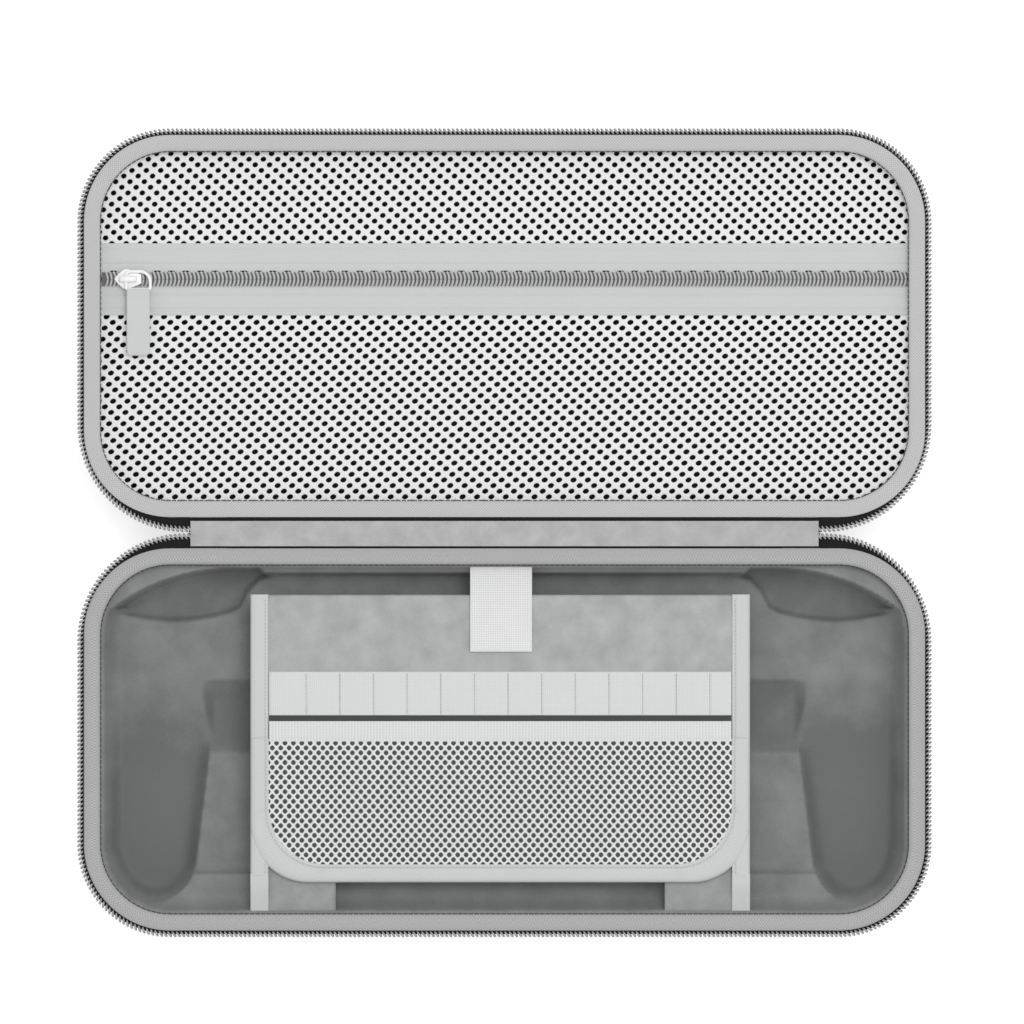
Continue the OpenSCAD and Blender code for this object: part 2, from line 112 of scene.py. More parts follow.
class Wire:
    """A value socket that takes part in Python arithmetic, adding Math nodes."""

    def __init__(self, tree: "Tree", socket: bpy.types.NodeSocket) -> None:
        """Wraps one output socket of a tree."""
        self.tree = tree
        self.socket = socket

    def __add__(self, other: Operand) -> "Wire":
        """self + other."""
        return self.tree.math("ADD", self, other)

    def __radd__(self, other: Operand) -> "Wire":
        """other + self."""
        return self.tree.math("ADD", other, self)

    def __sub__(self, other: Operand) -> "Wire":
        """self - other."""
        return self.tree.math("SUBTRACT", self, other)

    def __rsub__(self, other: Operand) -> "Wire":
        """other - self."""
        return self.tree.math("SUBTRACT", other, self)

    def __mul__(self, other: Operand) -> "Wire":
        """self * other."""
        return self.tree.math("MULTIPLY", self, other)

    def __rmul__(self, other: Operand) -> "Wire":
        """other * self."""
        return self.tree.math("MULTIPLY", other, self)

    def __truediv__(self, other: Operand) -> "Wire":
        """self / other."""
        return self.tree.math("DIVIDE", self, other)

    def __pow__(self, other: Operand) -> "Wire":
        """self ** other."""
        return self.tree.math("POWER", self, other)

    def __abs__(self) -> "Wire":
        """The value without its sign."""
        return self.tree.math("ABSOLUTE", self)

    def wave(self, length: float) -> "Wire":
        """A sine of this value, from -1 to 1, that repeats every length."""
        return self.tree.math("SINE", self * (2 * math.pi / length))


class Tree:
    """A shader's node tree, built one node at a time."""

    def __init__(self, tree: bpy.types.NodeTree) -> None:
        """Takes a tree and empties it."""
        self.tree = tree
        self.tree.nodes.clear()

    def node(
        self,
        kind: str,
        settings: dict[str, object],
        sockets: dict[Union[str, int], object],
    ) -> bpy.types.Node:
        """Adds one node.

        Args:
            kind: The node's type.
            settings: Its settings, set before its sockets.
            sockets: Values or links for its input sockets.

        Returns:
            The new node.
        """
        made = self.tree.nodes.new(kind)
        for key, value in settings.items():
            setattr(made, key, value)
        for key, value in sockets.items():
            self.feed(made.inputs[key], value)
        return made

    def feed(self, socket: bpy.types.NodeSocket, value: object) -> None:
        """Links or sets one input.

        Args:
            socket: The input socket.
            value: A wire or an output socket to link, or the input's own value.
        """
        if isinstance(value, Wire):
            self.tree.links.new(value.socket, socket)
        elif isinstance(value, bpy.types.NodeSocket):
            self.tree.links.new(value, socket)
        else:
            socket.default_value = value

    def math(self, operation: str, *values: Operand) -> Wire:
        """Adds one Math node.

        Args:
            operation: What it does.
            values: The values or wires that it takes.

        Returns:
            The wire that leaves it.
        """
        made = self.node(
            "ShaderNodeMath", {"operation": operation}, dict(enumerate(values))
        )
        return Wire(self, made.outputs[0])

    def clamp(self, value: Wire) -> Wire:
        """The value held between 0 and 1."""
        return self.math("MINIMUM", self.math("MAXIMUM", value, 0.0), 1.0)

    def seen(self) -> Wire:
        """One for rays from the camera and for reflections, and nothing for the rest.

        Returns:
            The wire.
        """
        path = self.node("ShaderNodeLightPath", {}, {})
        direct = Wire(self, path.outputs["Is Camera Ray"])
        return self.math("MAXIMUM", direct, Wire(self, path.outputs["Is Glossy Ray"]))

    def choose(
        self, share: Wire, off: Sequence[float], on: Sequence[float]
    ) -> bpy.types.NodeSocket:
        """Mixes two colours.

        Args:
            share: The wire that goes from the first to the second.
            off: Colour at nothing, as red, green and blue.
            on: Colour at one.

        Returns:
            The colour's socket.
        """
        mixed = self.node(
            "ShaderNodeMix",
            {"data_type": "RGBA", "clamp_factor": True},
            {"Factor": share, 6: (*off, 1.0), 7: (*on, 1.0)},
        )
        return mixed.outputs[2]


class Paint(Tree):
    """The node tree of one finish, built round its Principled shader."""

    def __init__(self, name: str) -> None:
        """Starts a material with a bare Principled shader.

        Args:
            name: The material's name.
        """
        self.material = bpy.data.materials.new(name)
        self.material.use_nodes = True
        super().__init__(self.material.node_tree)
        self.shader = self.node("ShaderNodeBsdfPrincipled", {}, {})
        self.node("ShaderNodeOutputMaterial", {}, {"Surface": self.shader.outputs[0]})

    def place(self) -> tuple[bpy.types.NodeSocket, Wire, Wire]:
        """Where on the cloth a point lies.

        Returns:
            The place as a vector in millimetres, and its run and its across.
        """
        chart = self.node("ShaderNodeUVMap", {"uv_map": CLOTH_MAP}, {})
        scaled = self.node(
            "ShaderNodeVectorMath",
            {"operation": "SCALE"},
            {0: chart.outputs[0], "Scale": 1 / MM},
        )
        parts = self.node("ShaderNodeSeparateXYZ", {}, {0: scaled.outputs[0]})
        return scaled.outputs[0], Wire(self, parts.outputs[0]), Wire(self, parts.outputs[1])

    def noise(self, place: object, size: float, detail: float = 2.0) -> Wire:
        """Adds noise from -1 to 1, or nearly.

        Args:
            place: The vector socket that it is read at.
            size: About how large its patches are.
            detail: How many finer layers it has.

        Returns:
            The noise.
        """
        made = self.node(
            "ShaderNodeTexNoise",
            {"noise_dimensions": "3D"},
            {"Vector": place, "Scale": 1 / size, "Detail": detail, "Roughness": 0.55},
        )
        return (Wire(self, made.outputs[0]) - 0.5) * 2.6

    def shade(self, dark: Sequence[float], light: Sequence[float], share: Wire) -> None:
        """Sets the base colour to a mix of two colours by a wire."""
        self.feed(self.shader.inputs["Base Color"], self.choose(share, dark, light))

    def relief(self, height: Wire, depth: float) -> None:
        """Bumps the surface.

        Args:
            height: The surface's height, from -1 to 1.
            depth: How deep that is, in millimetres.
        """
        bump = self.node(
            "ShaderNodeBump",
            {},
            {"Height": height, "Distance": depth * MM, "Strength": 1.0},
        )
        self.feed(self.shader.inputs["Normal"], bump.outputs[0])

    def fix(self, **values: float) -> None:
        """Sets shader sockets that are the same all over the surface."""
        for key, value in values.items():
            self.shader.inputs[key.replace("_", " ")].default_value = value


class Weave(Enum):
    """How a cloth's threads lie."""

    PLAIN = "over and under both ways"
    RIB = "ribs across the run"
    CORD = "fine lines along the run"
    GRID = "a grid of thin lines both ways"
    NAP = "a brushed face with no threads to see"


@dataclass(frozen=True)
class Cloth:
    """The finish of one cloth.

    Attributes:
        name: Its name.
        level: How light it is, from 0 to 255.
        cast: What its red, green and blue add to that level.
        weave: How its threads lie.
        pitch: Distance from thread to thread in millimetres.
        contrast: How much the threads change its lightness.
        relief: How deep the threads are in millimetres.
        mottle: How much its lightness wanders over large patches.
        patch: Size of those patches in millimetres.
        grain: How much single fibres change its lightness.
        sheen: Weight of its soft sheen.
        deep: How much painted shade darkens it low in the object, in its hollows.
        level_z: Height in millimetres below which the painted shade starts.
    """

    name: str
    level: float
    cast: tuple[float, float, float] = (0, 0, 0)
    weave: Weave = Weave.PLAIN
    pitch: float = 0.8
    contrast: float = 0.05
    relief: float = 0.05
    mottle: float = 0.02
    patch: float = 14
    grain: float = 0.03
    sheen: float = 0.0
    deep: float = 0.0
    level_z: float = 17

    @property
    def title(self) -> str:
        """The material's name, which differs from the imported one's."""
        return f"{self.name}_finish"

    def threads(
        self, paint: Paint, place: bpy.types.NodeSocket, run: Wire, across: Wire
    ) -> Wire:
        """Weaves the threads.

        Args:
            paint: The tree that they are made in.
            place: Where on the cloth a point lies.
            run: How far along the cloth that is.
            across: How far across it.

        Returns:
            Their height, from -1 to 1.
        """
        if self.weave is Weave.PLAIN:
            return run.wave(2 * self.pitch) * across.wave(2 * self.pitch)
        if self.weave is Weave.RIB:
            return run.wave(self.pitch) * 0.8 + across.wave(self.pitch * 0.9) * 0.2
        if self.weave is Weave.CORD:
            return across.wave(self.pitch) * 0.8 + run.wave(self.pitch * 0.9) * 0.2
        if self.weave is Weave.GRID:
            thin = abs(run.wave(2 * self.pitch)) ** 0.5
            cross = abs(across.wave(2 * self.pitch)) ** 0.5
            return thin + cross - 1.2
        return paint.noise(place, self.pitch, 4.0)

    def paint(self) -> bpy.types.Material:
        """Builds the material.

        Returns:
            The new material.
        """
        paint = Paint(self.title)
        place, run, across = paint.place()
        threads = self.threads(paint, place, run, across)
        wander = paint.noise(place, self.patch, 3.0) * self.mottle
        fibre = paint.noise(place, FIBRE, 1.0) * self.grain
        share = 0.5 + (threads * self.contrast + wander + fibre) / (2 * SWING)
        # Painted shade: darker the lower a point lies, for the shade in the tray's hollows.
        if self.deep:
            spot = paint.node("ShaderNodeTexCoord", {}, {}).outputs["Object"]
            split = paint.node("ShaderNodeSeparateXYZ", {}, {0: spot})
            under = paint.clamp((self.level_z - Wire(paint, split.outputs[2]) / MM) / SHADE_FALL)
            share = share - under * self.deep
        tone = [linear(self.level + c) for c in self.cast]
        paint.shade(
            [c * (1 - SWING) for c in tone],
            [min(c * (1 + SWING), 1.0) for c in tone],
            paint.clamp(share),
        )
        paint.relief(threads + fibre * 4.0, self.relief)
        paint.fix(Roughness=0.92, Specular_IOR_Level=0.25, Sheen_Weight=self.sheen)
        return paint.material


@dataclass(frozen=True)
class Gloss:
    """The finish of moulded plastic, enamel or metal.

    Attributes:
        name: Its name.
        level: How light it is, from 0 to 255.
        rough: Its roughness.
        metal: How metallic it is.
        grain: How much its lightness and roughness wander.
    """

    name: str
    level: float
    rough: float = 0.4
    metal: float = 0.0
    grain: float = 0.05

    @property
    def title(self) -> str:
        """The material's name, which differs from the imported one's."""
        return f"{self.name}_finish"

    def paint(self) -> bpy.types.Material:
        """Builds the material.

        Returns:
            The new material.
        """
        paint = Paint(self.title)
        place = paint.node("ShaderNodeTexCoord", {}, {}).outputs["Object"]
        wander = paint.noise(place, 3 * MM, 2.0)
        tone = linear(self.level)
        paint.shade(
            [tone * (1 - self.grain)] * 3,
            [min(tone * (1 + self.grain), 1.0)] * 3,
            paint.clamp(0.5 + wander * 0.5),
        )
        paint.feed(
            paint.shader.inputs["Roughness"], paint.clamp(self.rough + wander * 0.04)
        )
        paint.relief(wander, 0.01)
        paint.fix(Metallic=self.metal)
        return paint.material


class Finish(Enum):
    """Every finish of the pouch."""

    SHELL = Cloth("shell_cloth", 150, pitch=0.55, contrast=0.1, relief=0.08, grain=0.06)
    # The velour carries painted shade through its deep setting, darker the lower it lies.
    VELOUR = Cloth(
        "tray_velour", 140, cast=(0, 1.5, 1), weave=Weave.NAP, pitch=0.6, contrast=0.09,
        relief=0.06, mottle=0.26, patch=13, grain=0.07, sheen=0.1, deep=0.7
    )
    BASE_TAPE = Cloth("base_tape", 177, pitch=0.5, contrast=0.24, relief=0.06, grain=0.1)
    LID_TAPE = Cloth("lid_tape", 196, pitch=0.5, contrast=0.18, relief=0.06, grain=0.07)
    ZIP_TAPE = Cloth("zip_tape", 26, weave=Weave.RIB, pitch=0.8, contrast=0.3)
    SPINE = Cloth(
        "spine_suede", 180, cast=(0, 0.5, 0), weave=Weave.NAP, pitch=0.5, contrast=0.08,
        relief=0.05, mottle=0.22, patch=7, grain=0.08, sheen=0.1
    )
    FLAP = Cloth(
        "flap_suede", 176, cast=(0, 2, 1), weave=Weave.NAP, pitch=0.5, contrast=0.08,
        relief=0.05, mottle=0.24, patch=9, grain=0.08, sheen=0.1
    )
    FLAP_TAPE = Cloth(
        "flap_tape", 208, cast=(0, 2, 1), weave=Weave.PLAIN, pitch=0.45, contrast=0.04,
        relief=0.03, mottle=0.02, patch=20, grain=0.03
    )
    CARD = Cloth(
        "card_webbing", 220, cast=(0, 2, 1), weave=Weave.GRID, pitch=0.75, contrast=0.07,
        relief=0.08, grain=0.03
    )
    # Painted shade: a dark sheet for the shadow in the net pocket's mouth.
    MOUTH = Cloth(
        "pocket_mouth", 78, cast=(0, 1, 1), weave=Weave.NAP, pitch=0.5, contrast=0.05,
        relief=0.04
    )
    COIL_CORE = Cloth(
        "coil_core", 116, cast=(0, 1, 1), weave=Weave.NAP, pitch=0.5, contrast=0.05,
        relief=0.04
    )
    ELASTIC = Cloth(
        "elastic", 225, cast=(0, 2, 1), weave=Weave.RIB, pitch=1.1, contrast=0.07,
        relief=0.09, grain=0.03
    )
    NET = Cloth(
        "pocket_net", 232, cast=(0, 1, 0), weave=Weave.PLAIN, pitch=0.35, contrast=0.04,
        relief=0.03
    )
    LEG = Cloth(
        "leg_cloth", 162, cast=(0, 2, 1), weave=Weave.NAP, pitch=0.5, contrast=0.08,
        relief=0.05, mottle=0.2, patch=6, grain=0.08, sheen=0.1
    )
    STRAP = Cloth(
        "strap_webbing", 233, cast=(0, 2, 1), weave=Weave.GRID, pitch=0.8, contrast=0.1,
        relief=0.12, mottle=0.02, patch=9, grain=0.02
    )
    LINING = Cloth("lining", 52, weave=Weave.NAP, pitch=0.6, contrast=0.2, relief=0.1)
    LID_MESH = Cloth("lid_mesh", 251, pitch=0.35, contrast=0.03, relief=0.03, grain=0.02)
    POCKET_TAPE = Cloth(
        "pocket_tape", 208, cast=(0, 2, 1), weave=Weave.CORD, pitch=0.7, contrast=0.04,
        relief=0.04, mottle=0.02, patch=25, grain=0.04
    )
    PULL_TAPE = Cloth(
        "pull_tape", 208, cast=(0, 2, 1), weave=Weave.PLAIN, pitch=0.45, contrast=0.02,
        relief=0.03, mottle=0.01, patch=12, grain=0.01
    )
    THREAD = Cloth(
        "thread", 192, cast=(0, 1, 1), weave=Weave.RIB, pitch=0.3, contrast=0.1,
        relief=0.03
    )
    # Dark stitch thread that also paints the shade line at the rim band's inner edge.
    DARK_THREAD = Cloth(
        "dark_thread", 84, cast=(0, 1, 1), weave=Weave.RIB, pitch=0.3, contrast=0.2,
        relief=0.03
    )
    # Painted shade: a dark sheet behind the net, for the shadow inside the pocket.
    NET_BACK = Cloth(
        "net_back", 84, cast=(0, 2, 1), weave=Weave.NAP, pitch=0.5, contrast=0.1,
        relief=0.04, mottle=0.1, patch=8
    )
    TEETH = Gloss("zip_teeth", 162, rough=0.42)
    COIL = Gloss("pocket_coil", 190, rough=0.45)
    ENAMEL = Gloss("slider_metal", 247, rough=0.28, metal=0.0, grain=0.01)

    def material(self) -> bpy.types.Material:
        """The finish's material, built when it is first asked for."""
        known = bpy.data.materials.get(self.value.title)
        return known if known else self.value.paint()


# Mesh tools


def make_piece(
    name: str, points: np.ndarray, faces: Faces, chart: np.ndarray | None = None
) -> bpy.types.Object:
    """Makes a smooth mesh object.

    Args:
        name: The piece's name.
        points: Its points in millimetres.
        faces: Its faces as tuples of point numbers.
        chart: Where each corner of each face lies on the cloth, in millimetres. Left out,
            it is the plan.

    Returns:
        The new object, in metres.
    """
    mesh = bpy.data.meshes.new(name)
    flat = np.asarray(points, float).reshape(-1, 3)
    mesh.from_pydata((flat * MM).tolist(), [], faces)
    if chart is None:
        corner = np.fromiter((i for f in faces for i in f), int)
        chart = flat[corner][:, :2]
    layer = mesh.uv_layers.new(name=CLOTH_MAP)
    layer.data.foreach_set("uv", (np.asarray(chart, float) * MM).ravel())
    mesh.validate()
    mesh.update()
    mesh.shade_smooth()
    piece = bpy.data.objects.new(name, mesh)
    bpy.context.scene.collection.objects.link(piece)
    return piece


def lengths(line: np.ndarray) -> np.ndarray:
    """Distance along a line to each of its points."""
    return np.concatenate([[0], np.cumsum(np.linalg.norm(np.diff(line, axis=0), axis=1))])


def grid_faces(rows: int, cols: int, wrap_rows: bool, wrap_cols: bool) -> np.ndarray:
    """Joins a grid of points into quads.

    Args:
        rows: How many rows it has.
        cols: How many columns.
        wrap_rows: Whether the last row joins the first.
        wrap_cols: Whether the last column joins the first.

    Returns:
        The row and column number of each quad's corners, which run one past the end
        where the grid wraps.
    """
    i, j = np.meshgrid(
        np.arange(rows if wrap_rows else rows - 1),
        np.arange(cols if wrap_cols else cols - 1),
        indexing="ij",
    )
    i, j = i.ravel(), j.ravel()
    return np.stack([[i, j], [i + 1, j], [i + 1, j + 1], [i, j + 1]], 0).transpose(2, 0, 1)


def weave_grid(
    name: str,
    points: np.ndarray,
    chart: np.ndarray,
    wrap_rows: bool = False,
    wrap_cols: bool = False,
    caps: bool = False,
) -> bpy.types.Object:
    """Makes a piece from a grid of points.

    Args:
        name: The piece's name.
        points: The grid, as rows, columns and three coordinates in millimetres.
        chart: Where each lies on the cloth. It has one more row or column where the grid
            wraps.
        wrap_rows: Whether the last row joins the first.
        wrap_cols: Whether the last column joins the first.
        caps: Whether the first and last rows are closed, for wrapped columns.

    Returns:
        The new object.
    """
    rows, cols = points.shape[:2]
    quads = grid_faces(rows, cols, wrap_rows, wrap_cols)
    numbers = (quads[:, :, 0] % rows) * cols + quads[:, :, 1] % cols
    corners = chart[quads[:, :, 0], quads[:, :, 1]].reshape(-1, 2)
    faces: Faces = [tuple(f) for f in numbers.tolist()]
    if caps:
        half = cols // 2
        near, far = [], []
        for j in range(half - 1):
            ring = (j, j + 1, cols - 2 - j, cols - 1 - j)
            near.append(tuple(reversed(ring)))
            far.append(tuple((rows - 1) * cols + r for r in ring))
        faces = faces + near + far
        plan = points.reshape(-1, 3)[[i for f in near + far for i in f]][:, :2]
        corners = np.concatenate([corners, plan])
    return make_piece(name, points, faces, corners)


def spaced(start: float, end: float, step: float, lip: float = 0.0) -> np.ndarray:
    """Places along a line.

    Args:
        start: The first place.
        end: The last.
        step: About how far apart they are.
        lip: Length at each end where they lie closer.

    Returns:
        The places in order.
    """
    count = max(int(round(abs(end - start) / step)), 1)
    inner = np.linspace(start, end, count + 1)
    if lip <= 0:
        return inner
    sign = math.copysign(1.0, end - start)
    near = start + sign * lip * np.array([0, 0.1, 0.3, 0.6, 1.0])
    far = end - sign * lip * np.array([1.0, 0.6, 0.3, 0.1, 0])
    keep = inner[(abs(inner - start) > lip * 1.2) & (abs(inner - end) > lip * 1.2)]
    return np.concatenate([near, keep, far])


def slab(
    name: str, plan: np.ndarray, top: np.ndarray, low: np.ndarray, chart: np.ndarray
) -> bpy.types.Object:
    """Makes a closed sheet or pad from its upper and lower faces.

    Args:
        name: The piece's name.
        plan: Where each point lies, as rows, columns and two coordinates.
        top: Heights of the upper face.
        low: Heights of the lower face.
        chart: Where each point lies on the cloth.

    Returns:
        The new object.
    """
    upper = np.dstack([plan, top])
    lower = np.dstack([plan, low])[:, ::-1]
    points = np.concatenate([upper, lower], 1)
    marks = np.concatenate([chart, chart[:, ::-1], chart[:, :1]], 1)
    return weave_grid(name, points, marks, wrap_cols=True, caps=True)


def pad(
    name: str,
    xs: np.ndarray,
    ys: np.ndarray,
    top: float,
    low: float,
    lip: float,
    rise: np.ndarray | None = None,
) -> bpy.types.Object:
    """Makes a flat sheet or pad with rounded edges.

    Args:
        name: The piece's name.
        xs: Places along X.
        ys: Places along Y.
        top: Height of its upper face.
        low: Height of its lower face.
        lip: Radius of its edges.
        rise: What is added to both faces, over the grid of xs and ys.

    Returns:
        The new object.
    """
    x, y = np.meshgrid(xs, ys, indexing="ij")
    inset = np.minimum.reduce([x - xs.min(), xs.max() - x, y - ys.min(), ys.max() - y])
    drop = lip * hollow(inset / lip)
    more = np.zeros_like(x) if rise is None else rise
    plan = np.dstack([x, y])
    return slab(name, plan, top - drop + more, low + drop + more, plan)


def tube(path: np.ndarray, radius: np.ndarray, sides: int) -> tuple[np.ndarray, Faces]:
    """A round bar along a path.

    Args:
        path: The points it follows.
        radius: Its radius at each.
        sides: How many sides it has.

    Returns:
        Its points and faces, with both ends closed.
    """
    ahead = np.gradient(path, axis=0)
    ahead /= np.linalg.norm(ahead, axis=1)[:, None]
    guide = np.array([0.31, 0.17, 0.93])
    first = np.cross(ahead, guide)
    first /= np.linalg.norm(first, axis=1)[:, None]
    second = np.cross(ahead, first)
    a = np.linspace(0, 2 * math.pi, sides, endpoint=False)
    ring = (
        first[:, None] * np.cos(a)[None, :, None]
        + second[:, None] * np.sin(a)[None, :, None]
    )
    points = path[:, None] + ring * np.asarray(radius)[:, None, None]
    quads = grid_faces(len(path), sides, False, True)
    numbers = quads[:, :, 0] * sides + quads[:, :, 1] % sides
    faces: Faces = [tuple(reversed(f)) for f in numbers.tolist()]
    last = (len(path) - 1) * sides
    faces += [tuple(range(sides)), tuple(last + k for k in reversed(range(sides)))]
    return points.reshape(-1, 3), faces


def repeat(
    name: str, unit: np.ndarray, faces: Faces, spots: np.ndarray, axes: np.ndarray
) -> bpy.types.Object:
    """Makes one piece from many copies of a unit.

    Args:
        name: The piece's name.
        unit: The unit's points.
        faces: The unit's faces.
        spots: Where each copy's origin goes.
        axes: For each copy, the three directions that its axes take.

    Returns:
        The new object.
    """
    points = spots[:, None] + np.einsum("pk,nkj->npj", unit, axes)
    step = len(unit)
    every = [tuple(i + c * step for i in f) for c in range(len(spots)) for f in faces]
    corner = np.fromiter((i for f in faces for i in f), int)
    chart = np.tile(unit[corner][:, :2], (len(spots), 1))
    return make_piece(name, points, every, chart)


def stitch_row(
    name: str, line: np.ndarray, pitch: float, length: float, thick: float
) -> bpy.types.Object:
    """Makes a row of sewn stitches along a line.

    Args:
        name: The piece's name.
        line: Points of the line, on the cloth's face.
        pitch: Distance from stitch to stitch.
        length: Length of one stitch.
        thick: Its thickness.

    Returns:
        The new object.
    """
    run = lengths(line)
    count = int(run[-1] // pitch)
    where = (np.arange(count) + 0.5) * run[-1] / count
    at = np.stack([np.interp(where, run, line[:, k]) for k in range(3)], 1)
    nearby = np.stack([np.interp(where + 0.1, run, line[:, k]) for k in range(3)], 1)
    ahead = nearby - at
    ahead /= np.linalg.norm(ahead, axis=1)[:, None]
    up = np.tile([0.0, 0.0, 1.0], (count, 1))
    side = np.cross(up, ahead)
    half = length / 2
    path = np.array(
        [[-half, 0, -0.1], [-half * 0.7, 0, 0.06], [half * 0.7, 0, 0.06], [half, 0, -0.1]]
    )
    unit, faces = tube(path, np.array([0.5, 1, 1, 0.5]) * thick / 2, 6)
    return repeat(name, unit, faces, at, np.stack([ahead, side, up], 1))


# Case


@dataclass(frozen=True)
class Case:
    """Sizes of the two halves in millimetres, as in the part's source.

    Each half is drawn about its own middle with the spine at +Y, and half_y is the
    distance of that middle from the fold line.
    """

    width: float = 292
    depth: float = 132.7
    height: float = 40
    corner: float = 30
    wall: float = 4.4
    edge: float = 20
    draft: float = 4
    straight: float = 10
    gap: float = 10.8
    band_top: float = 39.85
    band_low: float = 39.15
    rim_top: float = 38.55
    skirt_low: float = 35
    shell_in: float = 0.4
    liner_in: float = 4.9
    open_in: float = 5.6
    ledge_in: float = 6.4
    tape_in: float = 3.2

    @property
    def half_y(self) -> float:
        """Distance of a half's middle from the fold line."""
        return (self.gap + self.depth) / 2

    @property
    def core(self) -> tuple[float, float]:
        """Half the width and depth between the corners' middles."""
        return self.width / 2 - self.corner, self.depth / 2 - self.corner


CASE = Case()


class Side(Enum):
    """The two halves, with the direction from a half's middle to the spine."""

    BASE = 1
    LID = -1

    def place(self, points: np.ndarray) -> np.ndarray:
        """Moves points from the half's own middle to the part's frame.

        Args:
            points: Points about the half's middle.

        Returns:
            The same points in the part's frame.
        """
        moved = np.array(points, float)
        moved[..., 1] = self.value * (moved[..., 1] - CASE.half_y)
        return moved

    @property
    def title(self) -> str:
        """The half's name in its pieces' names."""
        return self.name.lower()


def rim_path(arc_steps: int = 22, step: float = 5.8) -> tuple[np.ndarray, np.ndarray]:
    """The path that every rim of a half follows.

    Args:
        arc_steps: Steps in each corner.
        step: Length of a step along the straight sides.

    Returns:
        Points on the straight core and the outward direction at each. A rim at an inset
        lies at the corner radius less that inset along the direction.
    """
    cx, cy = CASE.core
    centres = [(cx, cy), (-cx, cy), (-cx, -cy), (cx, -cy)]
    base, out = [], []
    for k, (x, y) in enumerate(centres):
        for a in np.linspace(k * 90, k * 90 + 90, arc_steps + 1):
            base.append((x, y))
            out.append((math.cos(math.radians(a)), math.sin(math.radians(a))))
        nx, ny = centres[(k + 1) % 4]
        count = int(round(math.hypot(nx - x, ny - y) / step))
        for t in np.linspace(0, 1, count + 1)[1:-1]:
            base.append((x + (nx - x) * t, y + (ny - y) * t))
            out.append(out[-1])
    return np.array(base), np.array(out)


def sweep_rim(name: str, side: Side, profile: np.ndarray, closed: bool) -> bpy.types.Object:
    """Sweeps a profile round a half's rim.

    Args:
        name: The piece's name.
        side: Which half it is on.
        profile: Points of the profile, as inset from the rim band's edge, and height.
        closed: Whether the profile's last point joins its first.

    Returns:
        The new object.
    """
    base, out = rim_path()
    reach = CASE.corner - profile[:, 0]
    flat = base[:, None] + out[:, None] * reach[None, :, None]
    high = np.broadcast_to(profile[None, :, 1:], (*flat.shape[:2], 1))
    points = np.concatenate([flat, high], 2)
    loop = np.concatenate([profile, profile[:1]]) if closed else profile
    across = lengths(loop)
    middle = base + out * (CASE.corner - 3)
    ring = np.concatenate([middle, middle[:1]])
    run = lengths(ring)
    chart = np.dstack(np.meshgrid(run, across, indexing="ij"))
    points = side.place(points)
    if side is Side.BASE:
        points, chart = points[:, ::-1], chart[:, ::-1]
    return weave_grid(name, points, chart, True, closed)


@dataclass
class Workshop:
    """Dresses each piece and gives it to its body, or leaves cloth over a joint where it is."""

    frame: dict
    count: int = 0

    def settle(
        self,
        piece: bpy.types.Object,
        finish: Finish,
        slot: str,
        body: str,
        nodes: Sequence[str] = (),
        bend: tuple[str, Sequence[float], Sequence[float]] | None = None,
    ) -> None:
        """Finishes a piece.

        Args:
            piece: The piece, with its final mesh.
            finish: What it is made of.
            slot: Its material slot in the record; not used.
            body: The body that it rides on, unless bend is given.
            nodes: The nodes of the frame that it stands for.
            bend: For cloth over a joint, the other body and where the bend starts and ends,
            in millimetres. Only whether it is given counts: the piece then stays where it
            is, on no body, and does not bend.
        """
        piece.data.materials.append(finish.material())
        if bend:
            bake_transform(piece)
        else:
            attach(piece, body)
        if nodes:
            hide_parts(*nodes)
        self.count += 1
        log.info("%s rides on %s in %s", piece.name, body, finish.value.name)

    def dress(self, node: str, finish: Finish) -> None:
        """Gives a node of the frame that stays in view its finish.

        Args:
            node: The node's name.
            finish: What it is made of.
        """
        mesh = self.frame["nodes"][node].data
        mesh.materials.clear()
        mesh.materials.append(finish.material())
        log.info("%s keeps its shape in %s", node, finish.value.name)


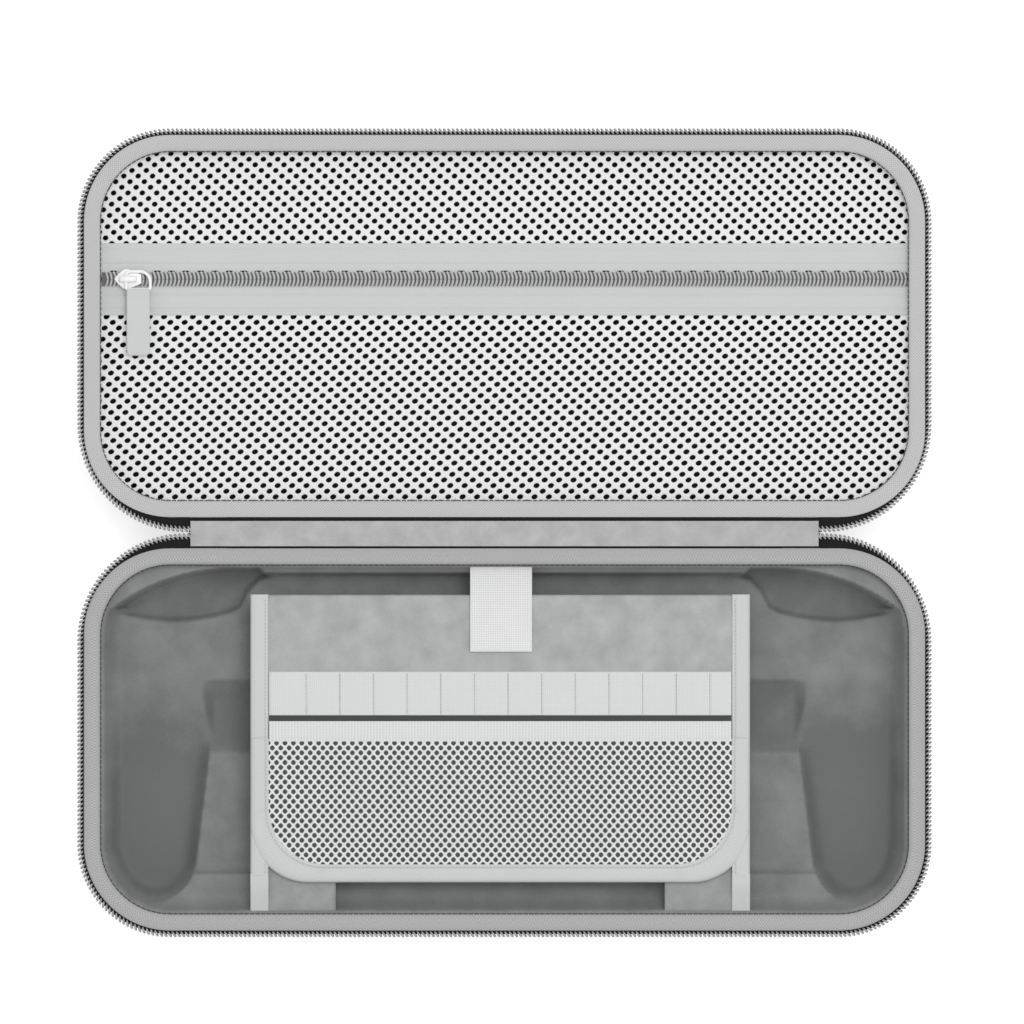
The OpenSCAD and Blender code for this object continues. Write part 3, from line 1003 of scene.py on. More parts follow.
@dataclass
class HalfShell:
    """One moulded half: its shell and its rim band."""

    side: Side
    band: Finish
    shop: Workshop
    sizes: Case = field(default_factory=Case)
    hidden: float = 1.8

    def wall(self, inset: float, low: float) -> list[tuple[float, float]]:
        """The wall's section from the bottom up.

        Args:
            inset: How far in from the rim band's edge the wall's straight top lies.
            low: Height of the bottom.

        Returns:
            Its points, as inset and height.
        """
        c = self.sizes
        r, round_r = c.corner - inset, c.edge - inset
        tilt = math.radians(c.draft)
        knee = c.height - c.straight
        middle = r - (knee - low - round_r) * math.tan(tilt) - round_r / math.cos(tilt)
        made = [(c.corner, low), (c.corner - middle * 0.5, low)]
        for a in np.linspace(-math.pi / 2, -tilt, 12):
            made.append(
                (
                    c.corner - middle - round_r * math.cos(a),
                    low + round_r + round_r * math.sin(a),
                )
            )
        return made + [(inset, knee)]

    def close_bottom(
        self, piece: bpy.types.Object, rings: Sequence[int], cols: int
    ) -> bpy.types.Object:
        """Closes a swept shell across its core.

        Args:
            piece: The shell, which is made anew.
            rings: Columns of its profile that are closed.
            cols: How many columns the profile has.

        Returns:
            The closed shell.
        """
        mesh = piece.data
        rows = len(mesh.vertices) // cols
        points = np.array([v.co for v in mesh.vertices]) / MM
        old: Faces = [tuple(p.vertices) for p in mesh.polygons]
        chart = np.zeros(len(mesh.loops) * 2)
        mesh.uv_layers[CLOTH_MAP].data.foreach_get("uv", chart)
        kept = chart.reshape(-1, 2) / MM
        seen: dict[tuple[float, float, float], int] = {}
        added: Faces = []
        for ring in rings:
            corners: list[int] = []
            for v in range(ring, rows * cols, cols):
                key = tuple(np.round(points[v], 3))
                if key not in seen:
                    seen[key] = v
                if not corners or corners[-1] != seen[key]:
                    corners.append(seen[key])
            added.append(tuple(corners if corners[0] != corners[-1] else corners[:-1]))
        extra = points[[i for f in added for i in f]][:, :2]
        name = piece.name
        bpy.data.objects.remove(piece)
        return make_piece(name, points, old + added, np.concatenate([kept, extra]))

    def shell(self) -> None:
        """The moulded shell with its outer cloth."""
        c = self.sizes
        outer = self.wall(c.shell_in, 0.0)
        inner = self.wall(c.shell_in + self.hidden, self.hidden)[::-1]
        lip = [
            (c.shell_in, c.rim_top - 0.5),
            (c.shell_in + 0.5, c.rim_top),
            (c.liner_in - 0.6, c.rim_top),
            (c.liner_in - 0.1, c.rim_top - 0.5),
        ]
        profile = np.array(outer + lip + inner)
        piece = sweep_rim(f"{self.side.title}_shell_cloth", self.side, profile, False)
        piece = self.close_bottom(piece, (0, len(profile) - 1), len(profile))
        title = self.side.title
        self.shop.settle(piece, Finish.SHELL, "shell_cloth", title, [f"{title}_shell"])

    def rim_band(self) -> None:
        """The tape that binds the rim and hangs down inside it."""
        c = self.sizes
        top, low = c.band_top, c.band_low
        profile = np.array(
            [
                (0.35, low),
                (0.05, low + 0.12),
                (0.0, low + 0.35),
                (0.1, low + 0.55),
                (0.4, top - 0.04),
                (1.2, top + 0.02),
                (2.6, top + 0.05),
                (4.0, top + 0.02),
                (4.6, top - 0.03),
                (4.95, top - 0.16),
                (c.open_in, top - 0.5),
                (c.open_in, top - 1.6),
                (c.open_in, c.skirt_low + 1),
                (c.open_in, c.skirt_low),
                (c.liner_in + 0.05, c.skirt_low),
                (c.liner_in + 0.05, low - 0.2),
                (c.liner_in - 0.3, low),
            ]
        )
        title = self.side.title
        piece = sweep_rim(f"{title}_rim_tape", self.side, profile, True)
        self.shop.settle(piece, self.band, f"{title}_tape", title, [f"{title}_rim_band"])

    def edge_stitches(self) -> None:
        """The stitches along the band's inner edge, in dark thread that also paints the shade line
        there.
        """
        base, out = rim_path()
        line = base + out * (CASE.corner - CASE.open_in - 0.1)
        line = np.concatenate([line, line[:1]])
        high = np.full((len(line), 1), CASE.band_top - 1.2)
        placed = self.side.place(np.concatenate([line, high], 1))
        title = self.side.title
        row = stitch_row(f"{title}_rim_stitches", placed, 1.9, 1.5, 0.62)
        # The thread's dark colour is partly painted shade along the band's inner edge.
        self.shop.settle(row, Finish.DARK_THREAD, f"{title}_tape", title)

    def build(self) -> None:
        """Builds the half's pieces."""
        self.shell()
        self.rim_band()
        self.edge_stitches()


# Main zip


@dataclass
class MainZip:
    """One row of the main zip: its tape and its coil of teeth."""

    side: Side
    shop: Workshop
    bare: float = 0.5
    row: float = 1.9
    flare: float = 37.4
    end_x: float = 109.3
    pitch: float = 1.52
    wire: float = 0.36
    lean: float = 0.55
    slim: float = 0.82
    sunk: float = 0.25
    coil_z: float = 38.8
    thick: float = 0.5

    def track(self, out: float, spacing: float) -> tuple[np.ndarray, np.ndarray]:
        """Places along the row, which flares away from the rim towards the spine.

        Args:
            out: Distance outward from the row's inner edge.
            spacing: Distance from place to place.

        Returns:
            The places about the half's middle, and the outward direction at each.
        """
        edge = CASE.width / 2 + self.bare + out
        front = CASE.depth / 2 + self.bare + out
        rear = CASE.depth / 2 + CASE.gap / 2 - 0.15 - self.row + out
        front_r = CASE.corner + self.bare + out
        rear_r = self.flare - self.row + out
        points, turns = [(-self.end_x, rear)], [90.0]
        for x, y, r, start in (
            (rear_r - edge, rear - rear_r, rear_r, 90),
            (front_r - edge, front_r - front, front_r, 180),
            (edge - front_r, front_r - front, front_r, 270),
            (edge - rear_r, rear - rear_r, rear_r, 360),
        ):
            for a in np.linspace(start, start + 90, 91):
                t = math.radians(a)
                points.append((x + r * math.cos(t), y + r * math.sin(t)))
                turns.append(a)
        points.append((self.end_x, rear))
        turns.append(450.0)
        line = np.array(points)
        run = lengths(line)
        count = int(run[-1] / spacing)
        where = np.linspace(0, run[-1], count + 1)
        at = np.stack([np.interp(where, run, line[:, k]) for k in range(2)], 1)
        turn = np.radians(np.interp(where, run, turns))
        return at, np.stack([np.cos(turn), np.sin(turn)], 1)

    def tape(self) -> None:
        """The black tape, from under the rim band out to the teeth."""
        outer, out = self.track(0.0, 2.5)
        inset = CASE.tape_in
        cx, cy = CASE.core
        core = np.clip(outer, [-cx, -cy], [cx, cy])
        away = outer - core
        away /= np.linalg.norm(away, axis=1)[:, None]
        inner = core + away * (CASE.corner - inset)
        shares = np.array([0.0, 0.45, 0.8, 1.0])
        plan = inner[:, None] + (outer - inner)[:, None] * shares[None, :, None]
        lip = (plan[:, -1] + out * 0.75)[:, None]
        plan = np.concatenate([plan, lip], 1)
        top = np.broadcast_to([39.1, 39.1, 39.05, 38.95, 38.85], plan.shape[:2])
        run = lengths(outer)
        chart = np.dstack(np.meshgrid(run, [0, 1.7, 3, 3.8, 4.5], indexing="ij"))
        placed = self.side.place(np.dstack([plan, top]))
        if self.side is Side.BASE:
            placed, chart = placed[:, ::-1], chart[:, ::-1]
        piece = slab(
            f"{self.side.title}_zip_tape_cloth",
            placed[..., :2],
            placed[..., 2],
            placed[..., 2] - self.thick,
            chart,
        )
        title = self.side.title
        self.shop.settle(piece, Finish.ZIP_TAPE, "zip_tape", title, [f"{title}_zip_tape"])

    def teeth(self) -> None:
        """The coil, one hooked loop after another round the whole row."""
        at, out = self.track(self.row / 2 - self.sunk, self.pitch)
        along = np.stack([-out[:, 1], out[:, 0]], 1)
        lean = self.lean * self.side.value
        path = np.array(
            [
                [-1.05, -1.0, -0.15],
                [-0.75, -0.9, 0.5],
                [-0.2, -0.35, 0.66],
                [0.35, 0.25, 0.6],
                [0.8, 0.85, 0.3],
                [0.92, 1.0, -0.1],
                [0.6, 0.8, -0.5],
                [0.0, 0.0, -0.58],
                [-0.8, -0.7, -0.5],
            ]
        )
        path[:, 1] *= lean
        path[:, 0] *= self.slim
        radius = self.wire * np.array([0.8, 0.85, 1, 1.2, 1.35, 1.2, 1, 0.9, 0.7])
        unit, faces = tube(path, radius, 7)
        middle = np.full((len(at), 1), self.coil_z)
        spots = self.side.place(np.concatenate([at, middle], 1))
        zeros = np.zeros((len(at), 1))
        flip = np.array([1, self.side.value, 1])
        axes = np.stack(
            [
                np.concatenate([out, zeros], 1) * flip,
                np.concatenate([along, zeros], 1) * flip,
                np.tile([0.0, 0.0, 1.0], (len(at), 1)),
            ],
            1,
        )
        if self.side is Side.LID:
            faces = [tuple(reversed(f)) for f in faces]
        title = self.side.title
        piece = repeat(f"{title}_coil_loops", unit, faces, spots, axes)
        self.shop.settle(piece, Finish.TEETH, "zip_teeth", title, [f"{title}_zip_teeth"])

    def build(self) -> None:
        """Builds the row's pieces."""
        self.tape()
        self.teeth()


# Spine


@dataclass
class Spine:
    """The two cloths that join the halves."""

    shop: Workshop
    length: float = 218
    slit: float = 1.3
    seam: float = 0.7
    end: float = 95.5
    held: float = 3.2
    cover: float = 192.8
    turned: float = 1.0
    face: tuple[float, float] = (39.8, 39.35)
    back: tuple[float, float] = (39.12, 38.56)
    tuck: tuple[float, float] = (39.3, 39.16)

    def panel(self) -> None:
        """The inner suede panel, which sinks a little between its seams."""
        half = CASE.gap / 2
        xs = spaced(-self.length / 2, self.length / 2, 4.0, 1.2)
        ys = spaced(self.seam - half, half - self.slit, 0.6, 0.5)
        x, y = np.meshgrid(xs, ys, indexing="ij")
        t = (y - ys[0]) / (ys[-1] - ys[0])
        sag = -0.08 * np.sin(math.pi * t) * smooth((self.length / 2 - abs(x)) / 8)
        sag += 0.03 * np.sin(x / 9.0) * np.sin(math.pi * t)
        piece = pad("spine_suede_panel", xs, ys, *self.face, 0.22, sag)
        self.shop.settle(
            piece,
            Finish.SPINE,
            "spine_suede",
            "base",
            ["spine_panel"],
            ("lid", (0, -5, 40), (0, 5, 40)),
        )

    def outer(self) -> None:
        """The outer cloth, held under both rim bands, in black as painted shade for the slits by
        the panel.
        """
        reach = CASE.gap / 2 + self.held
        xs = spaced(-self.cover / 2, self.cover / 2, 5.0, 1.0)
        ys = spaced(-reach, reach, 0.7, 0.5)
        piece = pad("spine_outer_cloth", xs, ys, *self.back, 0.2)
        self.shop.settle(
            piece,
            # Painted shade: the zip tape's black, so that the slits beside the panel show dark.
            Finish.ZIP_TAPE,
            "zip_tape",
            "base",
            ["spine_cover"],
            ("lid", (0, -5, 40), (0, 5, 40)),
        )

    def zip_ends(self) -> None:
        """The ends of the main zip's tapes, tucked in under the panel."""
        for side in Side:
            for name, sign in (("left", -1), ("right", 1)):
                xs = np.sort(spaced(sign * self.end, sign * (self.length / 2 + 0.6), 3, 0.2))
                near = -side.value * CASE.gap / 2
                ys = np.sort(spaced(near * 0.02, near * 0.995, 0.8, 0.2))
                piece = pad(f"{side.title}_zip_end_{name}", xs, ys, *self.tuck, 0.05)
                self.shop.settle(piece, Finish.ZIP_TAPE, "zip_tape", side.title)

    def build(self) -> None:
        """Builds the cloths."""
        self.panel()
        self.outer()
        self.zip_ends()


# Tray


@dataclass
class Tray:
    """The moulded tray, as one velour face over its pockets."""

    shop: Workshop
    bed: float = 16
    well: float = 6.5
    recess: float = 11.5
    notch: float = 9.5
    notch_half: float = 12.9
    notch_y: float = 7.6
    notch_x: float = 108
    shelf: float = 22
    step: float = 30
    top: float = 35
    well_r: float = 16
    well_back: float = 2.5
    slant: float = 7
    bow_r: float = 71
    bow_x: float = 94
    shelf_w: float = 12.3
    step_w: float = 2.5
    step_x: float = 85.5
    step_r: float = 2.5
    spacing: float = 0.68

    def inset(self, x: np.ndarray, y: np.ndarray, inset: float) -> np.ndarray:
        """Distance inward from a line that follows the rim.

        Args:
            x: Places along the half.
            y: Places across it.
            inset: How far in from the rim the line lies.

        Returns:
            The distances, negative outside the line.
        """
        hx, hy = CASE.width / 2 - inset, CASE.depth / 2 - inset
        r = CASE.corner - inset
        qx, qy = abs(x) - hx + r, abs(y) - hy + r
        outside = np.hypot(np.maximum(qx, 0), np.maximum(qy, 0))
        return r - outside - np.minimum(np.maximum(qx, qy), 0)

    def basin(self, x: np.ndarray, y: np.ndarray) -> np.ndarray:
        """Distance inward from the hollow's wall, with the two bows along its rear.

        Args:
            x: Places along the half.
            y: Places across it.

        Returns:
            The distances, negative outside the hollow.
        """
        rear = CASE.depth / 2 - CASE.ledge_in
        away = np.maximum(abs(x) - self.bow_x, 0)
        bow = self.bow_r - np.hypot(away, np.maximum(y - rear + self.bow_r, 0))
        return np.minimum(self.inset(x, y, CASE.ledge_in), bow)

    def scoop(self, y: np.ndarray) -> np.ndarray:
        """Height of a finger notch's round floor.

        Args:
            y: Places across the half.

        Returns:
            The heights.
        """
        half, depth = self.notch_half, self.bed - self.notch
        r = (half**2 + depth**2) / (2 * depth)
        off = np.clip(y - self.notch_y, -half, half)
        return self.notch + r - np.sqrt(r * r - off**2)

    def recess_edge(self, x: np.ndarray) -> tuple[np.ndarray, np.ndarray]:
        """The front edge of a shoulder recess.

        Args:
            x: Distances from the half's middle.

        Returns:
            Where the edge lies across the half, and its slope.
        """
        rear = CASE.depth / 2 - CASE.ledge_in
        px = np.array([72, 77, 81, 85.5, 89, 92.2, 96, 102, 111, 117, 125, 134, 142])
        fall = np.array([-1, 3, 3.9, 5.4, 9.0, 15.0, 16.8, 18.3, 19.6, 19.8, 19, 17.3, 15])
        edge = rear - np.interp(x, px, fall)
        slope = (np.interp(x + 0.5, px, fall) - np.interp(x - 0.5, px, fall)) / 1.0
        return edge, slope

    def height(self, x: np.ndarray, y: np.ndarray) -> np.ndarray:
        """Height of the tray's face.

        Args:
            x: Places along the half, from its middle.
            y: Places across it.

        Returns:
            The heights.
        """
        ax = abs(x)
        rear = CASE.depth / 2 - CASE.ledge_in
        shelf_y = self.shelf_w - rear
        z = np.full_like(x, self.bed)
        edge, slope = self.recess_edge(ax)
        inside = (y - edge) / np.sqrt(1 + slope**2)
        z -= (self.bed - self.recess) * smooth(inside / 2.2)
        rise = (self.shelf - self.bed) * hollow((y - shelf_y) / 5)
        z = z + np.where(y < shelf_y, self.shelf - self.bed, rise)
        fade = smooth((self.notch_x - ax) / 7)
        scooped = np.minimum(z, self.scoop(y))
        z = z + (scooped - z) * fade * (abs(y - self.notch_y) < self.notch_half)
        ramp = self.well + (self.bed - self.well) * smooth((y + 16) / 40)
        cx, cy = CASE.width / 2 - CASE.ledge_in - self.well_r, -rear + self.well_back
        cy += self.well_r
        t = math.radians(self.slant)
        rx, ry = cx - ax, y - cy
        along = rx * math.sin(t) + ry * math.cos(t)
        aside = rx * math.cos(t) - ry * math.sin(t)
        d = self.well_r - np.where(along > 0, np.maximum(aside, 0), np.hypot(rx, ry))
        floor = np.minimum(ramp, z)
        sunk = floor + (z - floor) * np.clip(1 - d / 10, 0, 1) ** 4
        z = np.where(d > 0, np.minimum(z, sunk), z)
        near = np.minimum(self.step_x - ax, y - (rear - self.step_w))
        cut = np.hypot(
            np.maximum(self.step_r - (self.step_x - ax), 0),
            np.maximum(self.step_r - (y - rear + self.step_w), 0),
        )
        near = np.minimum(near, self.step_r - cut)
        z = z + (self.step - z) * smooth(near / 0.8 + 0.5)
        d = self.basin(x, y)
        wide = np.where(y > 45, 2.4, 6.0)
        z = z + (self.top - z) * hollow(d / wide)
        return np.where(d <= 0.0, self.top, z)

    def liner(self, x: np.ndarray, y: np.ndarray) -> np.ndarray:
        """Distance inward from the tray's outer edge."""
        return self.inset(x, y, CASE.liner_in + 0.1)

    def drawn(
        self, measure: Measure, within: float, x: np.ndarray, y: np.ndarray
    ) -> tuple[np.ndarray, np.ndarray]:
        """Draws places onto an edge, so that it runs along the grid.

        Args:
            measure: Distance inward from the edge.
            within: How near the edge a place is drawn. At nothing, every place outside
                the edge is drawn, and none inside.
            x: Places along the half.
            y: Places across it.

        Returns:
            The places along and across.
        """
        d, half = measure(x, y), 0.05
        gx = (measure(x + half, y) - measure(x - half, y)) / (2 * half)
        gy = (measure(x, y + half) - measure(x, y - half)) / (2 * half)
        near = abs(d) < within if within else d < 0
        return np.where(near, x - gx * d, x), np.where(near, y - gy * d, y)

    def face(self) -> None:
        """The velour face."""
        hx, hy = CASE.width / 2 - CASE.liner_in, CASE.depth / 2 - CASE.liner_in
        xs = np.linspace(-hx, hx, int(2 * hx / self.spacing))
        ys = np.linspace(-hy, hy, int(2 * hy / self.spacing))
        x, y = np.meshgrid(xs, ys, indexing="ij")
        x, y = self.drawn(self.basin, self.spacing / 2, x, y)
        x, y = self.drawn(self.liner, 0.0, x, y)
        z = self.height(x, y)
        points = Side.BASE.place(np.dstack([x, y, z]))
        quads = grid_faces(len(xs), len(ys), False, False)
        numbers = quads[:, :, 0] * len(ys) + quads[:, :, 1]
        flat = points.reshape(-1, 3)
        a, b, c, e = (flat[numbers[:, k]] for k in range(4))
        size = np.linalg.norm(np.cross(c - a, e - b), axis=1)
        numbers = numbers[size > 1e-3]
        chart = flat[numbers.reshape(-1)][:, :2]
        faces: Faces = [tuple(f) for f in numbers.tolist()]
        piece = make_piece("tray_velour_face", flat, faces, chart)
        self.shop.settle(piece, Finish.VELOUR, "tray_velour", "base", ["moulded_tray"])

    def build(self) -> None:
        """Builds the tray."""
        self.face()


# Net and mesh


@dataclass(frozen=True)
class Knit:
    """A knitted net with a hole in each cell.

    Attributes:
        pitch: Distance between holes along X.
        row: Distance between rows.
        shift: How far each row is shifted from the last.
        hole: Half the width and half the height of a hole.
        turn: How far a hole is turned, in degrees.
        power: How square a hole is: 2 is an ellipse.
        thick: Thickness of the net.
        start: A place where a hole's middle lies.
    """

    pitch: float
    row: float
    shift: float
    hole: tuple[float, float]
    turn: float
    power: float
    thick: float
    start: tuple[float, float]

    def cell(self, count: int) -> tuple[np.ndarray, np.ndarray]:
        """The outline of a cell and of its hole.

        Args:
            count: At least how many places each has, besides the cell's corners.

        Returns:
            The two outlines, with matching places.
        """
        steps = [
            (i * self.pitch + j * self.shift, j * self.row)
            for i in (-2, -1, 0, 1, 2)
            for j in (-2, -1, 0, 1, 2)
            if (i, j) != (0, 0)
        ]
        corners = []
        for a in range(len(steps)):
            for b in range(a):
                m = np.array([steps[a], steps[b]])
                if abs(np.linalg.det(m)) < 1e-9:
                    continue
                p = np.linalg.solve(m, (m**2).sum(1) / 2)
                if all(p @ s <= np.dot(s, s) / 2 + 1e-9 for s in np.array(steps)):
                    corners.append(math.atan2(p[1], p[0]))
        angles = sorted({round(a, 5) for a in corners})
        fill = np.linspace(-math.pi, math.pi, count, endpoint=False)
        more = [f for f in fill if min(abs(f - a) for a in angles) > 2.0 / count]
        angles = np.array(sorted(angles + more))
        rays = np.stack([np.cos(angles), np.sin(angles)], 1)
        reach = np.min(
            [
                np.where(rays @ s > 1e-9, np.dot(s, s) / 2 / np.maximum(rays @ s, 1e-9), 9e9)
                for s in np.array(steps)
            ],
            0,
        )
        t = angles - math.radians(self.turn)
        a, b = self.hole
        r = (abs(np.cos(t) / a) ** self.power + abs(np.sin(t) / b) ** self.power) ** (
            -1 / self.power
        )
        return rays * reach[:, None], rays * r[:, None]

    def cells(self, low: np.ndarray, high: np.ndarray) -> np.ndarray:
        """Finds the cells that may touch a box.

        Args:
            low: The box's lowest corner.
            high: Its highest corner.

        Returns:
            The middle of each cell.
        """
        j = np.arange(
            math.floor((low[1] - self.start[1]) / self.row) - 1,
            math.ceil((high[1] - self.start[1]) / self.row) + 2,
        )
        lean = abs(self.shift) * (high[1] - low[1]) / self.row
        span = int((high[0] - low[0] + lean) / self.pitch) + 4
        i = np.arange(-span, span + 1)
        gi, gj = np.meshgrid(i, j, indexing="ij")
        x = self.start[0] + gi * self.pitch + gj * self.shift
        y = self.start[1] + gj * self.row
        room = self.pitch
        keep = (x > low[0] - room) & (x < high[0] + room)
        return np.stack([x[keep], y[keep]], 1)

    def build(
        self,
        name: str,
        top: float,
        low: np.ndarray,
        high: np.ndarray,
        clip: "Clip",
    ) -> tuple[bpy.types.Object, float]:
        """Makes the net inside an outline.

        Args:
            name: The piece's name.
            top: Height of its upper face.
            low: Lowest corner of the outline's box.
            high: Its highest corner.
            clip: Moves places outside the outline onto it.

        Returns:
            The new object and the area of its cut in square millimetres.
        """
        outer, hole = self.cell(12)
        n = len(outer)
        mids = self.cells(low, high)
        edge = clip(mids[:, None] + outer[None])
        rim = clip(mids[:, None] + hole[None])
        soft = rim * 0.78 + edge * 0.22
        layers = [(edge, top - 0.02), (soft, top), (rim, top - 0.16)]
        layers.append((rim, top - self.thick))
        points = np.stack(
            [np.dstack([p, np.full(p.shape[:2], z)]) for p, z in layers], 1
        )
        flat = points.reshape(-1, 3)
        base = np.arange(len(mids))[:, None, None] * (len(layers) * n)
        k = np.arange(n)
        ring = np.stack([k, (k + 1) % n], 1)
        quads = []
        for layer in range(len(layers) - 1):
            a, b = layer * n, (layer + 1) * n
            quads.append(
                np.stack(
                    [a + ring[:, 0], a + ring[:, 1], b + ring[:, 1], b + ring[:, 0]], 1
                )
            )
        numbers = (base + np.concatenate(quads)[None]).reshape(-1, 4)
        p0, p1, p2, p3 = (flat[numbers[:, c]] for c in range(4))
        size = np.linalg.norm(np.cross(p2 - p0, p3 - p1), axis=1)
        numbers = numbers[size > 2e-3]
        a, b = edge[:, :, 0], edge[:, :, 1]
        whole = abs((a * np.roll(b, -1, 1) - b * np.roll(a, -1, 1)).sum(1)).sum() / 2
        faces: Faces = [tuple(f) for f in numbers.tolist()]
        return make_piece(name, flat, faces), float(whole)


class Clip:
    """Moves places outside a half's rounded outline, or past two lines, onto it."""

    def __init__(
        self, middle: Sequence[float], half: Sequence[float], radius: float, lines: Sequence[float]
    ) -> None:
        """Takes the outline and the lines.

        Args:
            middle: Middle of the outline.
            half: Half its width and half its depth.
            radius: Its corner radius.
            lines: Where the two lines lie across it.
        """
        self.middle = np.array(middle, float)
        self.half = np.array(half, float)
        self.radius = radius
        self.lines = lines

    def __call__(self, places: np.ndarray) -> np.ndarray:
        """Moves places onto the outline where they lie outside it.

        Args:
            places: The places.

        Returns:
            The places where they are now.
        """
        p = places - self.middle
        core = np.clip(p, self.radius - self.half, self.half - self.radius)
        away = p - core
        far = np.linalg.norm(away, axis=-1, keepdims=True)
        scale = np.where(far > self.radius, self.radius / np.maximum(far, 1e-9), 1.0)
        moved = core + away * scale + self.middle
        moved[..., 1] = np.clip(moved[..., 1], *self.lines)
        return moved


# Flap


@dataclass
class Flap:
    """The divider flap with its card slots, net pocket and cloth hinges."""

    shop: Workshop
    middle: float = -1.5
    width: float = 173.5
    rear: float = -21.6
    length: float = 100
    face: float = 33.2
    board: float = 3
    bind: float = 6.3
    round_r: float = 20
    card_y: float = -48.3
    card_w: float = 15.2
    slot: float = 11.7
    shift: float = 2.7
    hem_y: float = -65.5
    hem_w: float = 7.1
    inner_r: float = 20
    leg_w: float = 29.5
    wall_y: float = -131.8

    @property
    def front(self) -> float:
        """Where the flap's front edge lies."""
        return self.rear - self.length

    def side_x(self, y: np.ndarray, inset: float) -> np.ndarray:
        """Distance from the flap's middle line to its side, round its front corners.

        Args:
            y: Places along the side.
            inset: How far in from the side.

        Returns:
            The distances.
        """
        r = self.round_r - inset
        start = self.front + self.round_r
        drop = np.clip(start - y, 0, r)
        return self.width / 2 - inset - r + np.sqrt(np.maximum(r * r - drop**2, 0))

    def cloth_board(self) -> None:
        """The padded board under its suede."""
        ys = spaced(self.rear, self.front + 0.75, 3.0, 1.2)
        t = np.concatenate([[-1, -0.994, -0.985, -0.97], np.linspace(-0.95, 0.95, 45)])
        t = np.concatenate([t, [0.97, 0.985, 0.994, 1]])
        reach = self.side_x(ys, 0.7)
        x = self.middle + t[None, :] * reach[:, None]
        y = np.broadcast_to(ys[:, None], x.shape)
        inset = np.minimum(
            np.minimum(self.rear - y, y - ys[-1]), reach[:, None] * (1 - abs(t))[None, :]
        )
        drop = 0.9 * hollow(inset / 0.9)
        puff = 0.25 * smooth(inset / 10) * smooth((y + 49) / 8)
        plan = np.dstack([x, y])
        top = self.face - drop + puff
        piece = slab("flap_board_suede", plan, top, self.face - self.board + drop, plan)
        self.shop.settle(piece, Finish.FLAP, "flap_suede", "flap", ["flap_panel"])

    def side_tape(self, sign: int) -> None:
        """The tape that binds one side, with its stitches.

        Args:
            sign: -1 for the left side and 1 for the right.
        """
        name = "left" if sign < 0 else "right"
        outer = self.middle + sign * (self.width / 2 + 0.15)
        inner = outer - sign * self.bind
        ys = spaced(self.rear + 0.1, self.front + 2.5, 3.0, 0.8)
        wrap = np.array(
            [
                (inner, self.face + 0.12),
                (inner + sign * 0.12, self.face + 0.55),
                (inner + sign * 0.6, self.face + 0.68),
                (inner + sign * 1.1, self.face + 0.6),
                (inner + sign * 1.6, self.face + 0.7),
                (outer - sign * 2.2, self.face + 0.8),
                (outer - sign * 0.7, self.face + 0.68),
                (outer - sign * 0.15, self.face + 0.25),
                (outer, self.face - 0.6),
                (outer, self.face - self.board + 0.2),
                (outer - sign * 0.5, self.face - self.board - 0.6),
                (outer - sign * 1.5, self.face - self.board - 0.7),
                (inner, self.face - self.board - 0.7),
                (inner, self.face - self.board + 0.02),
                (outer - sign * 0.75, self.face - self.board + 0.02),
                (outer - sign * 0.72, self.face - 1.0),
                (outer - sign * 0.8, self.face - 0.1),
            ]
        )
        points = np.empty((len(ys), len(wrap), 3))
        points[:, :, 0] = wrap[None, :, 0]
        points[:, :, 1] = ys[:, None]
        points[:, :, 2] = wrap[None, :, 1]
        across = lengths(np.concatenate([wrap, wrap[:1]]))
        chart = np.dstack(np.meshgrid(ys, across, indexing="ij"))
        if sign > 0:
            points, chart = points[:, ::-1], chart[:, ::-1]
        piece = weave_grid(f"flap_side_tape_{name}", points, chart, wrap_cols=True)
        self.shop.settle(
            piece, Finish.FLAP_TAPE, "flap_tape", "flap", [f"flap_binding_{name}"]
        )
        line = np.array(
            [
                [inner + sign * 1.1, self.rear - 1.5, self.face + 0.64],
                [inner + sign * 1.1, self.front + 3, self.face + 0.64],
            ]
        )
        row = stitch_row(f"flap_side_stitches_{name}", line, 1.3, 0.9, 0.24)
        self.shop.settle(row, Finish.THREAD, "flap_tape", "flap")

    def card_slots(self) -> None:
        """The webbing sewn down in lines, so that each part puffs up a little."""
        half = self.width / 2 - self.bind - 0.1
        lines = [self.shift + (i - 6) * self.slot for i in range(13)]
        edges = [-half, *[v for v in lines if abs(v) < half - 1], half]
        xs, rise = [], []
        for a, b in zip(edges, edges[1:]):
            t = (1 - np.cos(np.linspace(0, math.pi, 13)[:-1])) / 2
            xs += list(a + (b - a) * t)
            rise += list(np.sin(math.pi * t) ** 0.3)
        xs, rise = np.array(xs + [half]) + self.middle, np.array(rise + [0.0])
        ys = spaced(self.card_y, self.card_y - self.card_w, 1.2, 0.5)
        t = (self.card_y - ys) / self.card_w
        swell = 0.35 + 0.65 * smooth(t * 1.3)
        fold = 0.1 * np.exp(-(((t - 0.93) / 0.015) ** 2))
        more = rise[:, None] * swell[None, :] * 0.75 - fold[None, :]
        x, y = np.meshgrid(xs, ys, indexing="ij")
        plan = np.dstack([x, y])
        edge = np.minimum(self.card_y - y, y - ys[-1])
        top = self.face + 0.45 + more - 0.3 * hollow(edge / 0.3)
        low = np.full_like(top, self.face + 0.02)
        piece = slab("card_slot_webbing", plan, top, low, plan)
        self.shop.settle(piece, Finish.CARD, "card_webbing", "flap", ["card_strip"])
        for k, v in enumerate(edges[1:-1]):
            ends = (self.card_y - 0.6, self.card_y - self.card_w + 0.6)
            line = np.array([[v + self.middle, y, self.face + 0.52] for y in ends])
            row = stitch_row(f"card_slot_stitches_{k}", line, 1.25, 1.2, 0.3)
            self.shop.settle(row, Finish.THREAD, "card_webbing", "flap")

